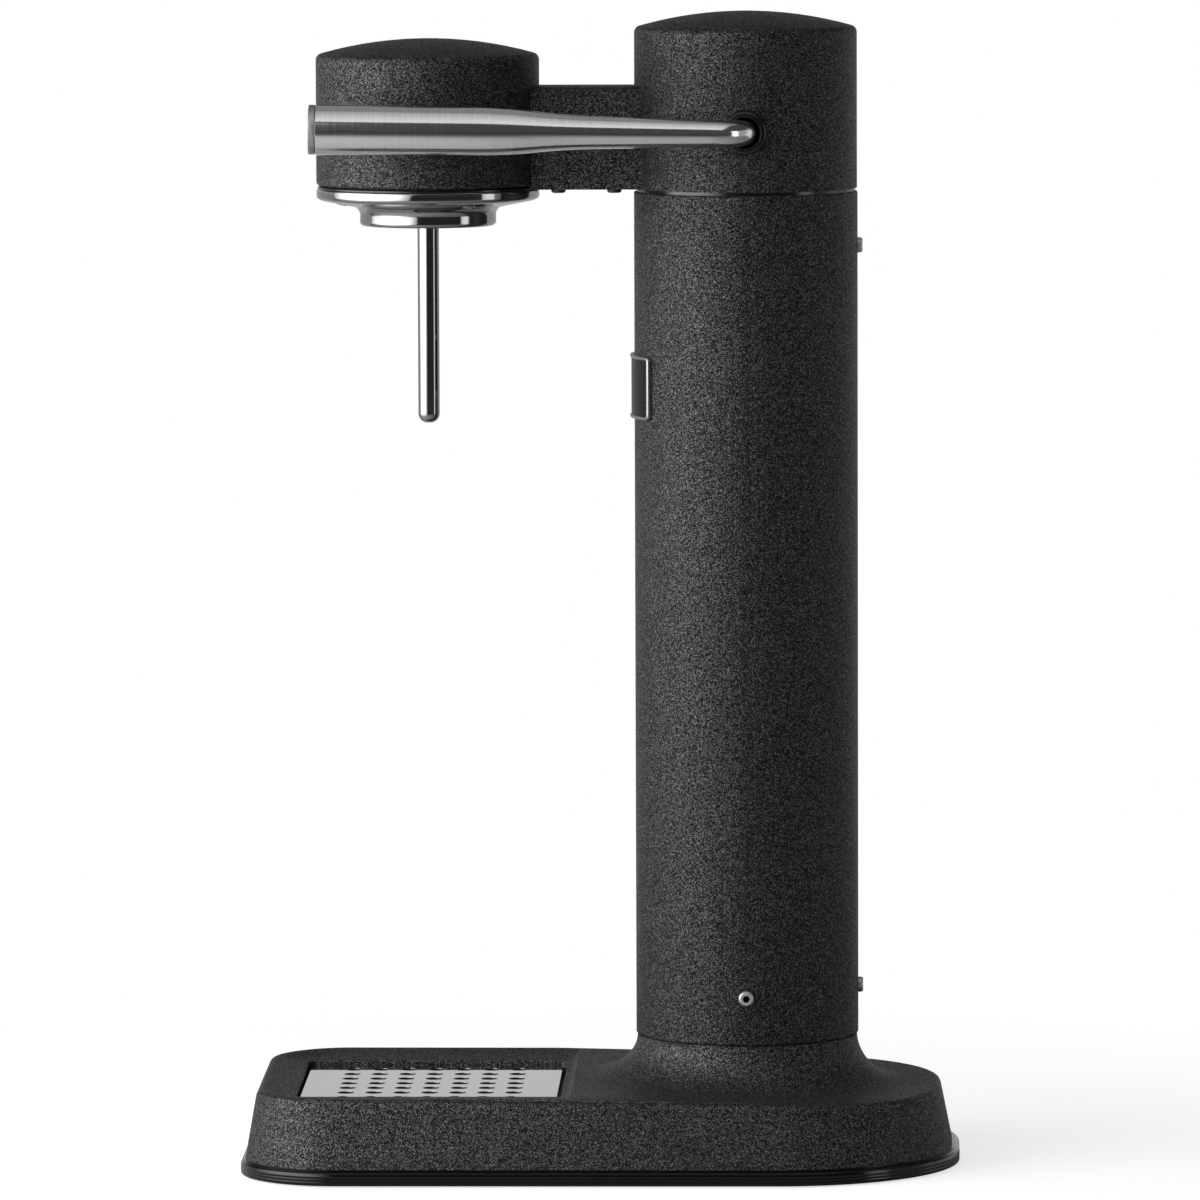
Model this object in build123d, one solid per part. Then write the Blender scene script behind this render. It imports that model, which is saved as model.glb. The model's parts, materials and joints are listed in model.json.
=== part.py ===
from build123d import *

import math
import os

# Soda carbonator, in millimetres. +Z is up, the bottle side faces -Y and the lever is on +X.
# The origin is on the surface it stands on, under the middle of its base.

# Gas cylinder and the column that holds it
cylinder_d = 60.0
cylinder_wall = 3.5
cylinder_gap = 3.2
cylinder_lift = 4.0
cylinder_shoulder = 34.0
cylinder_foot_r = 22.0
cylinder_foot_rise = 5.0
spigot_wall = 4.6
spigot_length = 26.0
slip_fit = 0.3
running_fit = 0.05
column_wall = 2.0
column_length = 303.7
column_edge = 0.4
column_screw_rise = 17.0
column_screw_drop = 19.5
column_screw_length = 6.0

# Base
rear_setback = 76.5
nozzle_reach = 114.0
grate_size = 92.0
front_margin = 21.0
side_margin = 30.5
front_corner_r = 35.0
rear_corner_r = 65.0
foot_proud = 0.5
foot_d = 16.0
foot_pocket = 0.9
foot_front_inset = 28.5
foot_front = 42.0
foot_rear_inset = 34.0
foot_rear = 52.0
plate_recess = 0.6
plate_flange = 1.9
plate_thickness = 3.2
rim_height = 5.0
rim_gap = 0.6
rim_overhang = 2.6
rim_land = 2.0
rim_clamp = 4.3
rim_width = 7.0
rim_top_round = 1.6
rim_bottom_round = 0.8
casting_height = 24.7
casting_taper = 10.0
casting_edge_r = 4.0
casting_wall = 3.0
flare_height = 15.0
flare_spread = 22.0
flare_inset = 0.5
flare_sink = 0.3
boss_r = 4.0
base_screw_inset = 17.5
base_screw_front = 28.0
base_screw_middle = 42.0
base_screw_rear = 30.0
base_screw_rear_inset = 24.5
base_screw_length = 10.0

# Drip tray
lip_inset = 5.0
lip_rear_slope = 4.6
lip_rear_corner_r = 8.0
tray_corner_r = 3.0
grate_gap = 1.2
grate_drop = 4.1
grate_step = 1.9
grate_thickness = 2.0
grate_corner_r = 1.8
grate_hole_d = 6.0
grate_holes = 7
grate_pitch_x = 11.93
grate_pitch_y = 10.05
pad_thickness = 1.0
pad_d = 5.0
pad_inset = 2.7
ledge_width = 6.0
sump_depth = 9.7
tray_sheet = 1.2

# Head
seam_height = 1.2
seam_inset = 0.9
rear_head_inset = 0.2
rear_head_height = 63.3
front_head_d = 80.1
front_head_height = 53.7
front_lift = 1.0
front_edge_r = 1.7
dome_rise = 5.8
dome_edge_r = 2.5
head_wall = 3.0
arm_width = 29.0
arm_height = 36.6
arm_edge_r = 4.0
arm_screw_pitch = 20.0
arm_screw_inset = 6.1
arm_screw_length = 9.0
arm_post_r = 3.3
arm_post_length = 9.0
head_boss_ring = 29.0
head_boss_depth = 12.0
nozzle_boss_ring = 31.0

# Lever and its shaft
lever_rise = 21.3
lever_reach = 151.3
lever_gap = 2.9
lever_tip_deg = 0.76
lever_pull_deg = 35.0
grip_d = 18.1
grip_root_d = 17.6
grip_length = 65.3
taper_length = 21.3
taper_end_d = 12.4
taper_round = 45.0
neck_d = 9.6
bend_r = 9.0
cap_d = 17.6
cap_thickness = 2.1
cap_gap = 0.5
cap_edge_r = 0.8
cap_spigot_d = 12.0
cap_spigot_length = 6.0
bush_d = 16.0
bush_body_d = 12.8
bush_proud = 2.9
bush_depth = 6.0
bush_edge_r = 1.6
shaft_d = 8.0
shaft_tail = 4.0
clip_d = 13.0
clip_thickness = 0.8
clip_groove = 0.8

# Valve train, from the lever shaft down to the cylinder
plunger_travel = 2.5
plunger_head_d = 20.0
plunger_head_height = 3.0
plunger_stem_d = 6.0
plunger_tip_d = 4.0
plunger_room = 1.0
cam_r = 11.0
cam_width = 10.0
cam_gap = 0.15
cam_room = 1.0
spring_d = 14.4
spring_wire_d = 1.4
spring_turns = 4
spring_gap = 0.2
web_thickness = 5.0
web_sink = 0.7
carrier_skirt = 31.0
block_flange = 4.0
block_flange_d = 68.0
block_d = 48.0
block_floor = 1.0
pocket_depth = 10.0
pocket_floor = 3.5
chamber_d = 10.0
chamber_height = 4.0
socket_wall = 5.2
socket_depth = 23.0
o_ring_d = 1.5
seal_thickness = 2.0
bracket_plate = 3.0
bracket_width = 50.0
bracket_depth = 27.0
bracket_gap = 26.0
bracket_cheek = 4.0
bracket_eye_r = 9.0
bracket_screw_x = 21.0
bracket_screw_y = 6.0
bracket_screw_length = 6.5
shaft_bush_wall = 2.0
shaft_bush_proud = 0.3
valve_thread_d = 21.0
valve_stem_length = 27.0
valve_stem_edge = 1.0
valve_collar_d = 28.0
valve_collar_height = 7.0
valve_pin_d = 5.0
valve_pin_fit = 0.1
valve_pin_proud = 1.2
valve_pin_length = 16.0
cylinder_neck_d = 26.0
neck_bore_d = 16.0
neck_length = 10.0

# Gas pipe from the valve block to the nozzle
pipe_d = 5.0
pipe_bore_d = 3.0
pipe_bend_r = 10.0
pipe_start = 20.0
pipe_nut_flats = 10.0
pipe_nut_length = 8.0

# Nozzle and splash ring
splash_step = 0.45
splash_drop = 1.2
splash_band = 3.6
splash_cone = 3.3
splash_sheet = 1.25
splash_edge_r = 0.9
splash_screw_ring = 31.0
splash_screw_turn = 30.0
splash_screw_length = 9.5
collar_d = 49.4
collar_height = 6.6
collar_edge_r = 1.6
collar_neck_d = 40.0
collar_neck_length = 14.4
collar_bore_d = 33.0
collar_mouth = 2.0
nozzle_d = 7.6
nozzle_bore_d = 3.0
nozzle_drop = 70.7
nozzle_hold = 14.0
nozzle_tip_r = 3.4
nozzle_jet_d = 1.0
nozzle_jet_rise = 5.0
nozzle_body_d = 50.0
nozzle_body_roof = 8.0
nozzle_boss_inset = 0.7
nozzle_flange = 5.0
nozzle_trunk_d = 24.0
nozzle_trunk_rise = 8.0
bottle_seal_thickness = 3.5
bottle_seal_bore_d = 16.0
relief_flats = 11.0
relief_hex_height = 6.0
relief_cap_d = 8.0
relief_cap_height = 4.0

# Badge on the front of the column
badge_rise = 222.5
badge_height = 23.0
badge_width = 44.0
badge_corner_r = 1.2
badge_border = 1.5
badge_frame_proud = 1.6
badge_field_proud = 1.1

# Screws
screw_head_d = 5.4
screw_head_height = 1.8
screw_shank_d = 4.0
small_head_d = 5.2
small_head_height = 1.4
small_shank_d = 3.0
screw_socket_flats = 2.5
screw_socket_depth = 1.0
screw_round = 0.9

# Plan of the base and the two upright axes
base_length = rear_setback + nozzle_reach + grate_size / 2 + front_margin
base_width = grate_size + 2 * side_margin
column_y = base_length / 2 - rear_setback
nozzle_y = column_y - nozzle_reach

# Radii about the column and the nozzle
cylinder_r = cylinder_d / 2
bore_r = cylinder_r + cylinder_gap
spigot_r = bore_r + spigot_wall
column_bore_r = spigot_r + slip_fit
column_r = column_bore_r + column_wall
rear_head_r = column_r - rear_head_inset
rear_bore_r = rear_head_r - head_wall
front_head_r = front_head_d / 2
splash_d = front_head_d - 2 * splash_step
front_bore_r = front_head_r - head_wall
shaft_r = shaft_d / 2
neck_r = neck_d / 2

# Heights of the base
rim_bottom = foot_proud
rim_top = rim_bottom + rim_height
casting_bottom = rim_top + rim_gap
plate_bottom = rim_bottom + plate_recess
plate_flange_top = plate_bottom + plate_flange
plate_top = plate_bottom + plate_thickness
base_top = casting_bottom + casting_height
inside_top = base_top - casting_wall / 2
grate_top = base_top - grate_drop
grate_bottom = grate_top - grate_thickness
dish_bottom = grate_top + grate_step
ledge_z = grate_bottom - pad_thickness
sump_floor = ledge_z - sump_depth
shelf_z = ledge_z - tray_sheet
shelf_bottom = shelf_z - casting_wall

# Heights of the column and the head
collar_top = base_top + flare_height
column_top = collar_top + column_length
head_bottom = column_top + seam_height
front_bottom = head_bottom + front_lift
rear_apex = head_bottom + rear_head_height
front_apex = head_bottom + front_head_height
arm_top = head_bottom + arm_height
cover_top = head_bottom + head_wall
lower_screw_z = collar_top + column_screw_rise
upper_screw_z = column_top - column_screw_drop

# Lever plane, clear of the front head and of the bush
lever_z = head_bottom + lever_rise
bush_face = rear_head_r + bush_proud
stub_end = rear_head_r - bush_depth
lever_x = max(front_head_r + lever_gap + grip_d / 2, bush_face + bend_r + running_fit)

# Heights of the valve train
cam_rise = plunger_travel / 2
cam_y = column_y - cam_rise / math.tan(math.radians(lever_pull_deg / 2))
plunger_top = lever_z + cam_rise - cam_r - cam_gap
plunger_seat = plunger_top - plunger_head_height
web_bottom = head_bottom - web_sink
web_top = web_bottom + web_thickness
flange_top = web_top + block_flange
pocket_bottom = flange_top - pocket_depth
chamber_top = pocket_bottom - pocket_floor
chamber_bottom = chamber_top - chamber_height
chamber_z = (chamber_top + chamber_bottom) / 2
socket_bottom = chamber_bottom - socket_depth
seal_bottom = chamber_bottom - seal_thickness
valve_top = seal_bottom - slip_fit
pin_top = valve_top + valve_pin_proud
plunger_tip = pin_top + slip_fit
valve_collar_top = valve_top - valve_stem_length
cylinder_top = valve_collar_top - valve_collar_height
bracket_top = flange_top + bracket_plate
cheek_inner = bracket_gap / 2
cheek_outer = cheek_inner + bracket_cheek
pocket_r = plunger_head_d / 2 + plunger_room
gas_passage_r = pipe_bore_d / 2

# Heights of the nozzle
splash_top = front_bottom - splash_drop
splash_edge = splash_top - splash_band
collar_seat = splash_edge - splash_cone
collar_bottom = collar_seat - collar_height
collar_neck_top = collar_seat + collar_neck_length
nozzle_flange_top = splash_top + nozzle_flange
nozzle_body_top = collar_neck_top + nozzle_body_roof
nozzle_top = collar_neck_top + nozzle_hold
nozzle_tip = collar_bottom - nozzle_drop
pipe_z = flange_top + pipe_nut_length + pipe_bend_r
trunk_top = pipe_z + nozzle_trunk_rise

# Places of the screws and feet
half_width = base_width / 2
base_screw_points = [
    (side * (half_width - inset), y)
    for side in (-1, 1)
    for inset, y in (
        (base_screw_inset, nozzle_y - base_screw_front),
        (base_screw_inset, nozzle_y + base_screw_middle),
        (base_screw_rear_inset, column_y + base_screw_rear),
    )
]
foot_points = [
    (side * (half_width - inset), y)
    for side in (-1, 1)
    for inset, y in ((foot_front_inset, nozzle_y - foot_front), (foot_rear_inset, column_y + foot_rear))
]
head_screw_angles = (50, 130, 230, 310)
nozzle_screw_angles = (45, 135, 225, 315)
splash_screw_angles = [splash_screw_turn + 120 * turn for turn in range(3)]
side_screw_angles = (0, 180)
rear_screw_angle = 90
arm_middle = (nozzle_y + front_head_r + column_y - rear_head_r) / 2
arm_screw_x = arm_width / 2 - arm_screw_inset
pad_x = grate_size / 2 - pad_inset

from_bottom = (Align.CENTER, Align.CENTER, Align.MIN)


# Four corners of a rectangle that is centred on X
def corners(half_x, y_middle, half_y):
    return [(side * half_x, y_middle + end * half_y) for side in (-1, 1) for end in (-1, 1)]


arm_screw_points = corners(arm_screw_x, arm_middle, arm_screw_pitch / 2)
bracket_screw_points = corners(bracket_screw_x, column_y, bracket_screw_y)
pad_points = corners(pad_x, nozzle_y, pad_x)


# Upright cylinder between two heights
def rod(radius, z_low, z_high, x=0.0, y=0.0):
    return Pos(x, y, z_low) * Cylinder(radius, z_high - z_low, align=from_bottom)


# Upright tube between two heights
def ring(outer_r, inner_r, z_low, z_high, y=0.0):
    return rod(outer_r, z_low, z_high, y=y) - rod(inner_r, z_low, z_high, y=y)


# Cylinder along X, on the lever's shaft line unless told otherwise
def cross_rod(radius, x_low, x_high, y=column_y, z=lever_z):
    return Pos(x_low, y, z) * Rot(0, 90, 0) * Cylinder(radius, x_high - x_low, align=from_bottom)


# Cylinder along Y, from front to back
def long_rod(radius, y_low, y_high, z):
    return Pos(0, y_low, z) * Rot(-90, 0, 0) * Cylinder(radius, y_high - y_low, align=from_bottom)


# Block that is centred on X and given by its other limits
def slab(width, y_low, y_high, z_low, z_high):
    block = Box(width, y_high - y_low, z_high - z_low, align=from_bottom)
    return Pos(0, (y_low + y_high) / 2, z_low) * block


# Solid turned about an upright axis from a closed outline of radius and height
def turned(outline, y):
    return Pos(0, y, 0) * revolve(Plane.XZ * make_face(outline), Axis.Z)


# Points of a circle about an upright axis
def circle_points(radius, angles, y):
    turns = [math.radians(angle) for angle in angles]
    return [(radius * math.cos(turn), y + radius * math.sin(turn)) for turn in turns]


# Several loose solids that share a node
def group(solids):
    return Compound([piece.solid() for piece in solids])


# Hexagonal prism that stands on the XY plane
def hexagon(flats, height):
    return extrude(RegularPolygon(flats / 2, 6, major_radius=False), height)


# Round-headed socket screw along +Z, its head seated on z = 0
def button_screw(head_d, head_height, shank_d, length):
    head = rod(head_d / 2, 0, head_height)
    head = fillet(head.edges().group_by(Axis.Z)[-1], screw_round)
    socket = Pos(0, 0, head_height - screw_socket_depth) * hexagon(screw_socket_flats, head_height)
    return head + rod(shank_d / 2, -length, 0) - socket


def small_screw(length):
    return button_screw(small_head_d, small_head_height, small_shank_d, length)


def large_screw(length):
    return button_screw(screw_head_d, screw_head_height, screw_shank_d, length)


# Moves a piece made along +Z so that it points out of the column at an angle and a height
def outward(piece, angle, z, radius):
    return Pos(0, column_y, z) * Rot(0, 0, angle) * Pos(radius, 0, 0) * Rot(0, 90, 0) * piece


# Radial screw holes through the column, cut from a piece
def column_holes(piece, fit, heights):
    radius = screw_shank_d / 2 + fit
    drill = rod(radius, -2 * spigot_wall, 2 * column_wall)
    if lower_screw_z in heights:
        for angle in side_screw_angles:
            piece -= outward(drill, angle, lower_screw_z, column_r)
    for z in heights:
        piece -= outward(drill, rear_screw_angle, z, column_r)
    return piece


# Plan of the base, a rectangle with tighter corners at the front
def base_outline(inset):
    plan = Rectangle(base_width - 2 * inset, base_length - 2 * inset)
    plan = fillet(plan.vertices().group_by(Axis.Y)[0], front_corner_r - inset)
    return fillet(plan.vertices().group_by(Axis.Y)[-1], rear_corner_r - inset)


# Plan of the well that the grate lies in
def tray_outline(inset):
    size = grate_size + 2 * (grate_gap - inset)
    return Pos(0, nozzle_y) * RectangleRounded(size, size, tray_corner_r)


# Upper edge of the dished border around the grate
def lip_outline():
    inset = rim_overhang + casting_height * math.tan(math.radians(casting_taper)) + lip_inset
    y_low = inset - base_length / 2
    y_high = nozzle_y + grate_size / 2 + grate_gap + lip_rear_slope
    plan = Pos(0, (y_low + y_high) / 2) * Rectangle(base_width - 2 * inset, y_high - y_low)
    plan = fillet(plan.vertices().group_by(Axis.Y)[0], front_corner_r - inset)
    return fillet(plan.vertices().group_by(Axis.Y)[-1], lip_rear_corner_r)


# Concave foot that carries the column
def column_flare():
    top_r = column_r - flare_inset
    foot_r = top_r + flare_spread
    foot_z = base_top - flare_sink
    drop = collar_top - foot_z
    sweep_in = EllipticalCenterArc((foot_r, collar_top), flare_spread, drop, 180, arc_size=90)
    rest = Polyline(
        (foot_r, foot_z),
        (foot_r, inside_top),
        (bore_r, inside_top),
        (bore_r, collar_top),
        (top_r, collar_top),
    )
    return turned(sweep_in + rest, column_y)


def base_casting():
    foot = Pos(0, 0, casting_bottom)
    body = extrude(foot * base_outline(rim_overhang), casting_height, taper=casting_taper)
    body = fillet(body.faces().sort_by(Axis.Z)[-1].edges(), casting_edge_r)
    inside_height = casting_height - casting_wall
    body -= extrude(foot * base_outline(rim_overhang + casting_wall), inside_height, taper=casting_taper)
    body += extrude(Pos(0, 0, shelf_bottom) * tray_outline(-casting_wall), inside_top - shelf_bottom)
    body += rod(bore_r + casting_wall, plate_top, inside_top, y=column_y)
    for x, y in base_screw_points:
        body += rod(boss_r, plate_top, inside_top, x, y)
    body += column_flare()
    body += rod(spigot_r, inside_top, collar_top + spigot_length, y=column_y)
    body -= rod(bore_r, 0, collar_top + 2 * spigot_length, y=column_y)
    dish_floor = Pos(0, 0, dish_bottom) * tray_outline(0)
    body -= loft([dish_floor, Pos(0, 0, base_top) * lip_outline()], ruled=True)
    body -= extrude(Pos(0, 0, shelf_z) * tray_outline(0), dish_bottom - shelf_z)
    body -= extrude(Pos(0, 0, shelf_bottom) * tray_outline(ledge_width - tray_sheet - slip_fit), casting_wall)
    hole_top = plate_bottom + base_screw_length + slip_fit
    for x, y in base_screw_points:
        body -= rod(small_shank_d / 2 + running_fit, plate_top, hole_top, x, y)
    return column_holes(body, running_fit, [lower_screw_z])


def base_rim():
    bead = extrude(Pos(0, 0, rim_bottom) * base_outline(0), rim_height)
    bead = fillet(bead.faces().sort_by(Axis.Z)[-1].edges(), rim_top_round)
    bead = fillet(bead.faces().sort_by(Axis.Z)[0].edges(), rim_bottom_round)
    bead += extrude(Pos(0, 0, plate_flange_top) * base_outline(rim_land), casting_bottom - plate_flange_top)
    bead -= extrude(base_outline(rim_width), casting_bottom)
    return bead - extrude(base_outline(rim_clamp), plate_flange_top)


def base_plate():
    plate = extrude(Pos(0, 0, plate_bottom) * base_outline(rim_clamp + slip_fit), plate_flange)
    plate += extrude(Pos(0, 0, plate_bottom) * base_outline(rim_width + slip_fit), plate_thickness)
    plate -= rod(bore_r, 0, plate_top, y=column_y)
    for x, y in foot_points:
        plate -= rod(foot_d / 2 + slip_fit, 0, plate_bottom + foot_pocket, x, y)
    for x, y in base_screw_points:
        plate -= rod(small_shank_d / 2 + slip_fit, 0, plate_top, x, y)
        plate -= rod(small_head_d / 2 + slip_fit, 0, plate_bottom + small_head_height, x, y)
    return plate


def base_screws():
    seat = plate_bottom + small_head_height
    screw = Rot(180, 0, 0) * small_screw(base_screw_length - small_head_height)
    return group([Pos(x, y, seat) * screw for x, y in base_screw_points])


def base_feet():
    return group([rod(foot_d / 2, 0, plate_bottom + foot_pocket, x, y) for x, y in foot_points])


def drip_tray():
    tray = extrude(Pos(0, 0, shelf_z) * tray_outline(slip_fit), tray_sheet)
    pan = Pos(0, 0, sump_floor - tray_sheet) * tray_outline(ledge_width - tray_sheet)
    tray += extrude(pan, sump_depth + tray_sheet)
    return tray - extrude(Pos(0, 0, sump_floor) * tray_outline(ledge_width), sump_depth)


def drip_grate():
    plan = RectangleRounded(grate_size, grate_size, grate_corner_r)
    for place in GridLocations(grate_pitch_x, grate_pitch_y, grate_holes, grate_holes):
        plan -= place * Circle(grate_hole_d / 2)
    return extrude(Pos(0, nozzle_y, grate_bottom) * plan, grate_thickness)


def grate_pads():
    return group([rod(pad_d / 2, ledge_z, grate_bottom, x, y) for x, y in pad_points])


def column_tube():
    tube = rod(column_r, collar_top, column_top, y=column_y)
    tube = chamfer(tube.edges().filter_by(GeomType.CIRCLE), column_edge)
    tube -= rod(column_bore_r, collar_top, column_top, y=column_y)
    return column_holes(tube, slip_fit, [lower_screw_z, upper_screw_z])


def column_side_screws():
    screw = large_screw(column_screw_length)
    return group([outward(screw, angle, lower_screw_z, column_r) for angle in side_screw_angles])


def column_rear_screws():
    screw = large_screw(column_screw_length)
    return group([outward(screw, rear_screw_angle, z, column_r) for z in (lower_screw_z, upper_screw_z)])


def seam_ring():
    return ring(column_r - seam_inset, rear_bore_r, column_top, head_bottom, column_y)


# Bell with a domed top, made smaller all round by a wall
def bell(radius, z_low, z_apex, wall, y):
    apex = (0, z_apex - wall)
    edge = (radius - wall, z_apex - dome_rise - wall)
    dome = TangentArc(apex, edge, tangent=(1, 0))
    skirt = Polyline(edge, (radius - wall, z_low), (0, z_low), apex)
    return turned(dome + skirt, y)


# Outer form of a bell, with its upper edge rounded
def rounded_bell(radius, z_low, z_apex, y):
    body = bell(radius, z_low, z_apex, 0, y)
    rims = body.edges().filter_by(lambda edge: edge.is_closed)
    return fillet(rims.sort_by(Axis.Z)[-1], dome_edge_r)


def head_shell():
    rear = rounded_bell(rear_head_r, head_bottom, rear_apex, column_y)
    front = rounded_bell(front_head_r, front_bottom, front_apex, nozzle_y)
    front = fillet(front.faces().sort_by(Axis.Z)[0].edges(), front_edge_r)
    arm = slab(arm_width, nozzle_y, column_y, head_bottom, arm_top)
    arm = fillet(arm.edges().filter_by(Axis.Y).group_by(Axis.Z)[-1], arm_edge_r)
    arm -= rod(front_head_r, head_bottom, front_bottom, y=nozzle_y)
    shell = rear + front + arm
    shell -= bell(rear_head_r, head_bottom, rear_apex, head_wall, column_y)
    shell -= bell(front_head_r, head_bottom, front_apex, head_wall, nozzle_y)
    shell -= slab(arm_width - 2 * head_wall, nozzle_y, column_y, head_bottom, arm_top - head_wall)
    screw_hole_r = screw_shank_d / 2 + running_fit
    for x, y in circle_points(head_boss_ring, head_screw_angles, column_y):
        shell += rod(boss_r, flange_top, rear_apex, x, y) & rear
        shell -= rod(screw_hole_r, flange_top, flange_top + head_boss_depth, x, y)
    for x, y in circle_points(nozzle_boss_ring, nozzle_screw_angles, nozzle_y):
        shell += rod(boss_r, nozzle_flange_top, front_apex, x, y) & front
        shell -= rod(screw_hole_r, nozzle_flange_top, nozzle_flange_top + head_boss_depth, x, y)
    for x, y in arm_screw_points:
        shell += rod(arm_post_r, cover_top, cover_top + arm_post_length, x, y)
        shell -= rod(small_shank_d / 2 + running_fit, cover_top, cover_top + arm_screw_length, x, y)
    return shell - cross_rod(bush_body_d / 2 + running_fit, rear_head_r / 2, 2 * rear_head_r)


def arm_cover():
    width = arm_width - 2 * head_wall - 2 * slip_fit
    cover = slab(width, nozzle_y, column_y, head_bottom, cover_top)
    cover -= rod(front_head_r, head_bottom, cover_top, y=nozzle_y)
    cover -= rod(rear_head_r, head_bottom, cover_top, y=column_y)
    for x, y in arm_screw_points:
        cover -= rod(small_shank_d / 2 + slip_fit, head_bottom, cover_top, x, y)
    return cover


def arm_cover_screws():
    screw = Rot(180, 0, 0) * small_screw(arm_screw_length)
    return group([Pos(x, y, head_bottom) * screw for x, y in arm_screw_points])


# Tips a level piece about the shaft line, its front end up
def tipped(piece):
    return Pos(0, column_y, lever_z) * Rot(-lever_tip_deg, 0, 0) * Pos(0, -column_y, -lever_z) * piece


# Turns a piece from upright about the column to along the lever, pointing forward
def forward(piece):
    return Pos(lever_x, column_y, lever_z) * Rot(90, 0, 0) * piece


def lever_tube():
    taper_start = lever_reach - grip_length
    taper_end = taper_start - taper_length
    side = FilletPolyline(
        (grip_d / 2, lever_reach),
        (grip_root_d / 2, taper_start),
        (taper_end_d / 2, taper_end),
        (neck_r, bend_r),
        radius=taper_round,
    )
    rest = Polyline((neck_r, bend_r), (0, bend_r), (0, lever_reach), (grip_d / 2, lever_reach))
    tube = forward(turned(side + rest, 0))
    tube -= forward(rod(cap_spigot_d / 2 + running_fit, lever_reach - cap_spigot_length, lever_reach))
    start = Pos(lever_x, column_y - bend_r, lever_z) * (Plane.XZ * Circle(neck_r))
    turn_axis = Axis((lever_x - bend_r, column_y - bend_r, lever_z), (0, 0, 1))
    tube += revolve(start, turn_axis, 90)
    return tipped(tube + cross_rod(neck_r, stub_end, lever_x - bend_r))


def lever_end_cap():
    disc_start = lever_reach + cap_gap
    cap = rod(cap_d / 2, disc_start, disc_start + cap_thickness)
    cap = fillet(cap.edges().group_by(Axis.Z)[-1], cap_edge_r)
    return tipped(forward(cap + rod(cap_spigot_d / 2, lever_reach - cap_spigot_length, disc_start)))


def lever_bush():
    flange = cross_rod(bush_d / 2, rear_bore_r, bush_face)
    flange = fillet(flange.edges().group_by(Axis.X)[-1], bush_edge_r)
    flange -= rod(rear_head_r + running_fit, head_bottom, rear_apex, y=column_y)
    bush = flange + cross_rod(bush_body_d / 2, stub_end, bush_face - bush_edge_r)
    return bush - cross_rod(neck_r + running_fit, stub_end, bush_face)


# The shaft, grooved near its far end for the clip
def pivot_shaft():
    clip_x = -cheek_outer - shaft_bush_proud - running_fit - clip_thickness
    shaft = cross_rod(shaft_r, clip_x - shaft_tail, stub_end)
    groove = cross_rod(shaft_r, clip_x, clip_x + clip_thickness)
    return shaft - (groove - cross_rod(shaft_r - clip_groove, clip_x, clip_x + clip_thickness))


def shaft_clip():
    clip_x = -cheek_outer - shaft_bush_proud - running_fit - clip_thickness
    disc = cross_rod(clip_d / 2, clip_x, clip_x + clip_thickness)
    return disc - cross_rod(shaft_r - clip_groove + running_fit, clip_x, clip_x + clip_thickness)


# Eccentric that turns the lever's pull into the plunger's stroke
def cam():
    disc = cross_rod(cam_r, -cam_width / 2, cam_width / 2, cam_y, lever_z + cam_rise)
    return disc - cross_rod(shaft_r + running_fit, -cam_width / 2, cam_width / 2)


def shaft_bracket():
    y_low = column_y - bracket_depth / 2
    y_high = column_y + bracket_depth / 2
    bracket = slab(bracket_width, y_low, y_high, flange_top, bracket_top)
    bracket -= rod(pocket_r, flange_top, bracket_top, y=column_y)
    hollow_x = cam_width / 2 + cam_room
    bracket -= cross_rod(cam_r + cam_room, -hollow_x, hollow_x, cam_y, lever_z - cam_rise)
    bush_seat_r = shaft_r + shaft_bush_wall + running_fit
    for x_low in (-cheek_outer, cheek_inner):
        cheek_y = column_y - bracket_eye_r
        cheek = Pos(x_low, cheek_y, flange_top) * Box(
            bracket_cheek, 2 * bracket_eye_r, lever_z - flange_top, align=(Align.MIN, Align.MIN, Align.MIN)
        )
        bracket += cheek + cross_rod(bracket_eye_r, x_low, x_low + bracket_cheek)
        bracket -= cross_rod(bush_seat_r, x_low, x_low + bracket_cheek)
    for x, y in bracket_screw_points:
        bracket -= rod(small_shank_d / 2 + slip_fit, flange_top, bracket_top, x, y)
    return bracket


def shaft_bushes():
    bushes = []
    for x_low in (-cheek_outer, cheek_inner):
        x_start = x_low - shaft_bush_proud
        x_end = x_low + bracket_cheek + shaft_bush_proud
        bush = cross_rod(shaft_r + shaft_bush_wall, x_start, x_end)
        bushes.append(bush - cross_rod(shaft_r + running_fit, x_start, x_end))
    return group(bushes)


def bracket_screws():
    screw = small_screw(bracket_screw_length)
    return group([Pos(x, y, bracket_top) * screw for x, y in bracket_screw_points])


# Plug in the top of the column, which the valve block and the head are screwed to
def valve_carrier():
    carrier = rod(spigot_r, column_top - carrier_skirt, column_top, y=column_y)
    carrier += rod(rear_bore_r - slip_fit, column_top, web_top, y=column_y)
    carrier -= rod(bore_r, column_top - carrier_skirt, web_bottom, y=column_y)
    carrier -= rod(block_d / 2 + slip_fit, web_bottom, web_top, y=column_y)
    for x, y in circle_points(head_boss_ring, head_screw_angles, column_y):
        carrier -= rod(screw_shank_d / 2 + running_fit, web_bottom, web_top, x, y)
    return column_holes(carrier, running_fit, [upper_screw_z])


def carrier_screws():
    length = flange_top - web_bottom + head_boss_depth - slip_fit
    screw = Rot(180, 0, 0) * large_screw(length)
    points = circle_points(head_boss_ring, head_screw_angles, column_y)
    return group([Pos(x, y, web_bottom) * screw for x, y in points])


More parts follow.
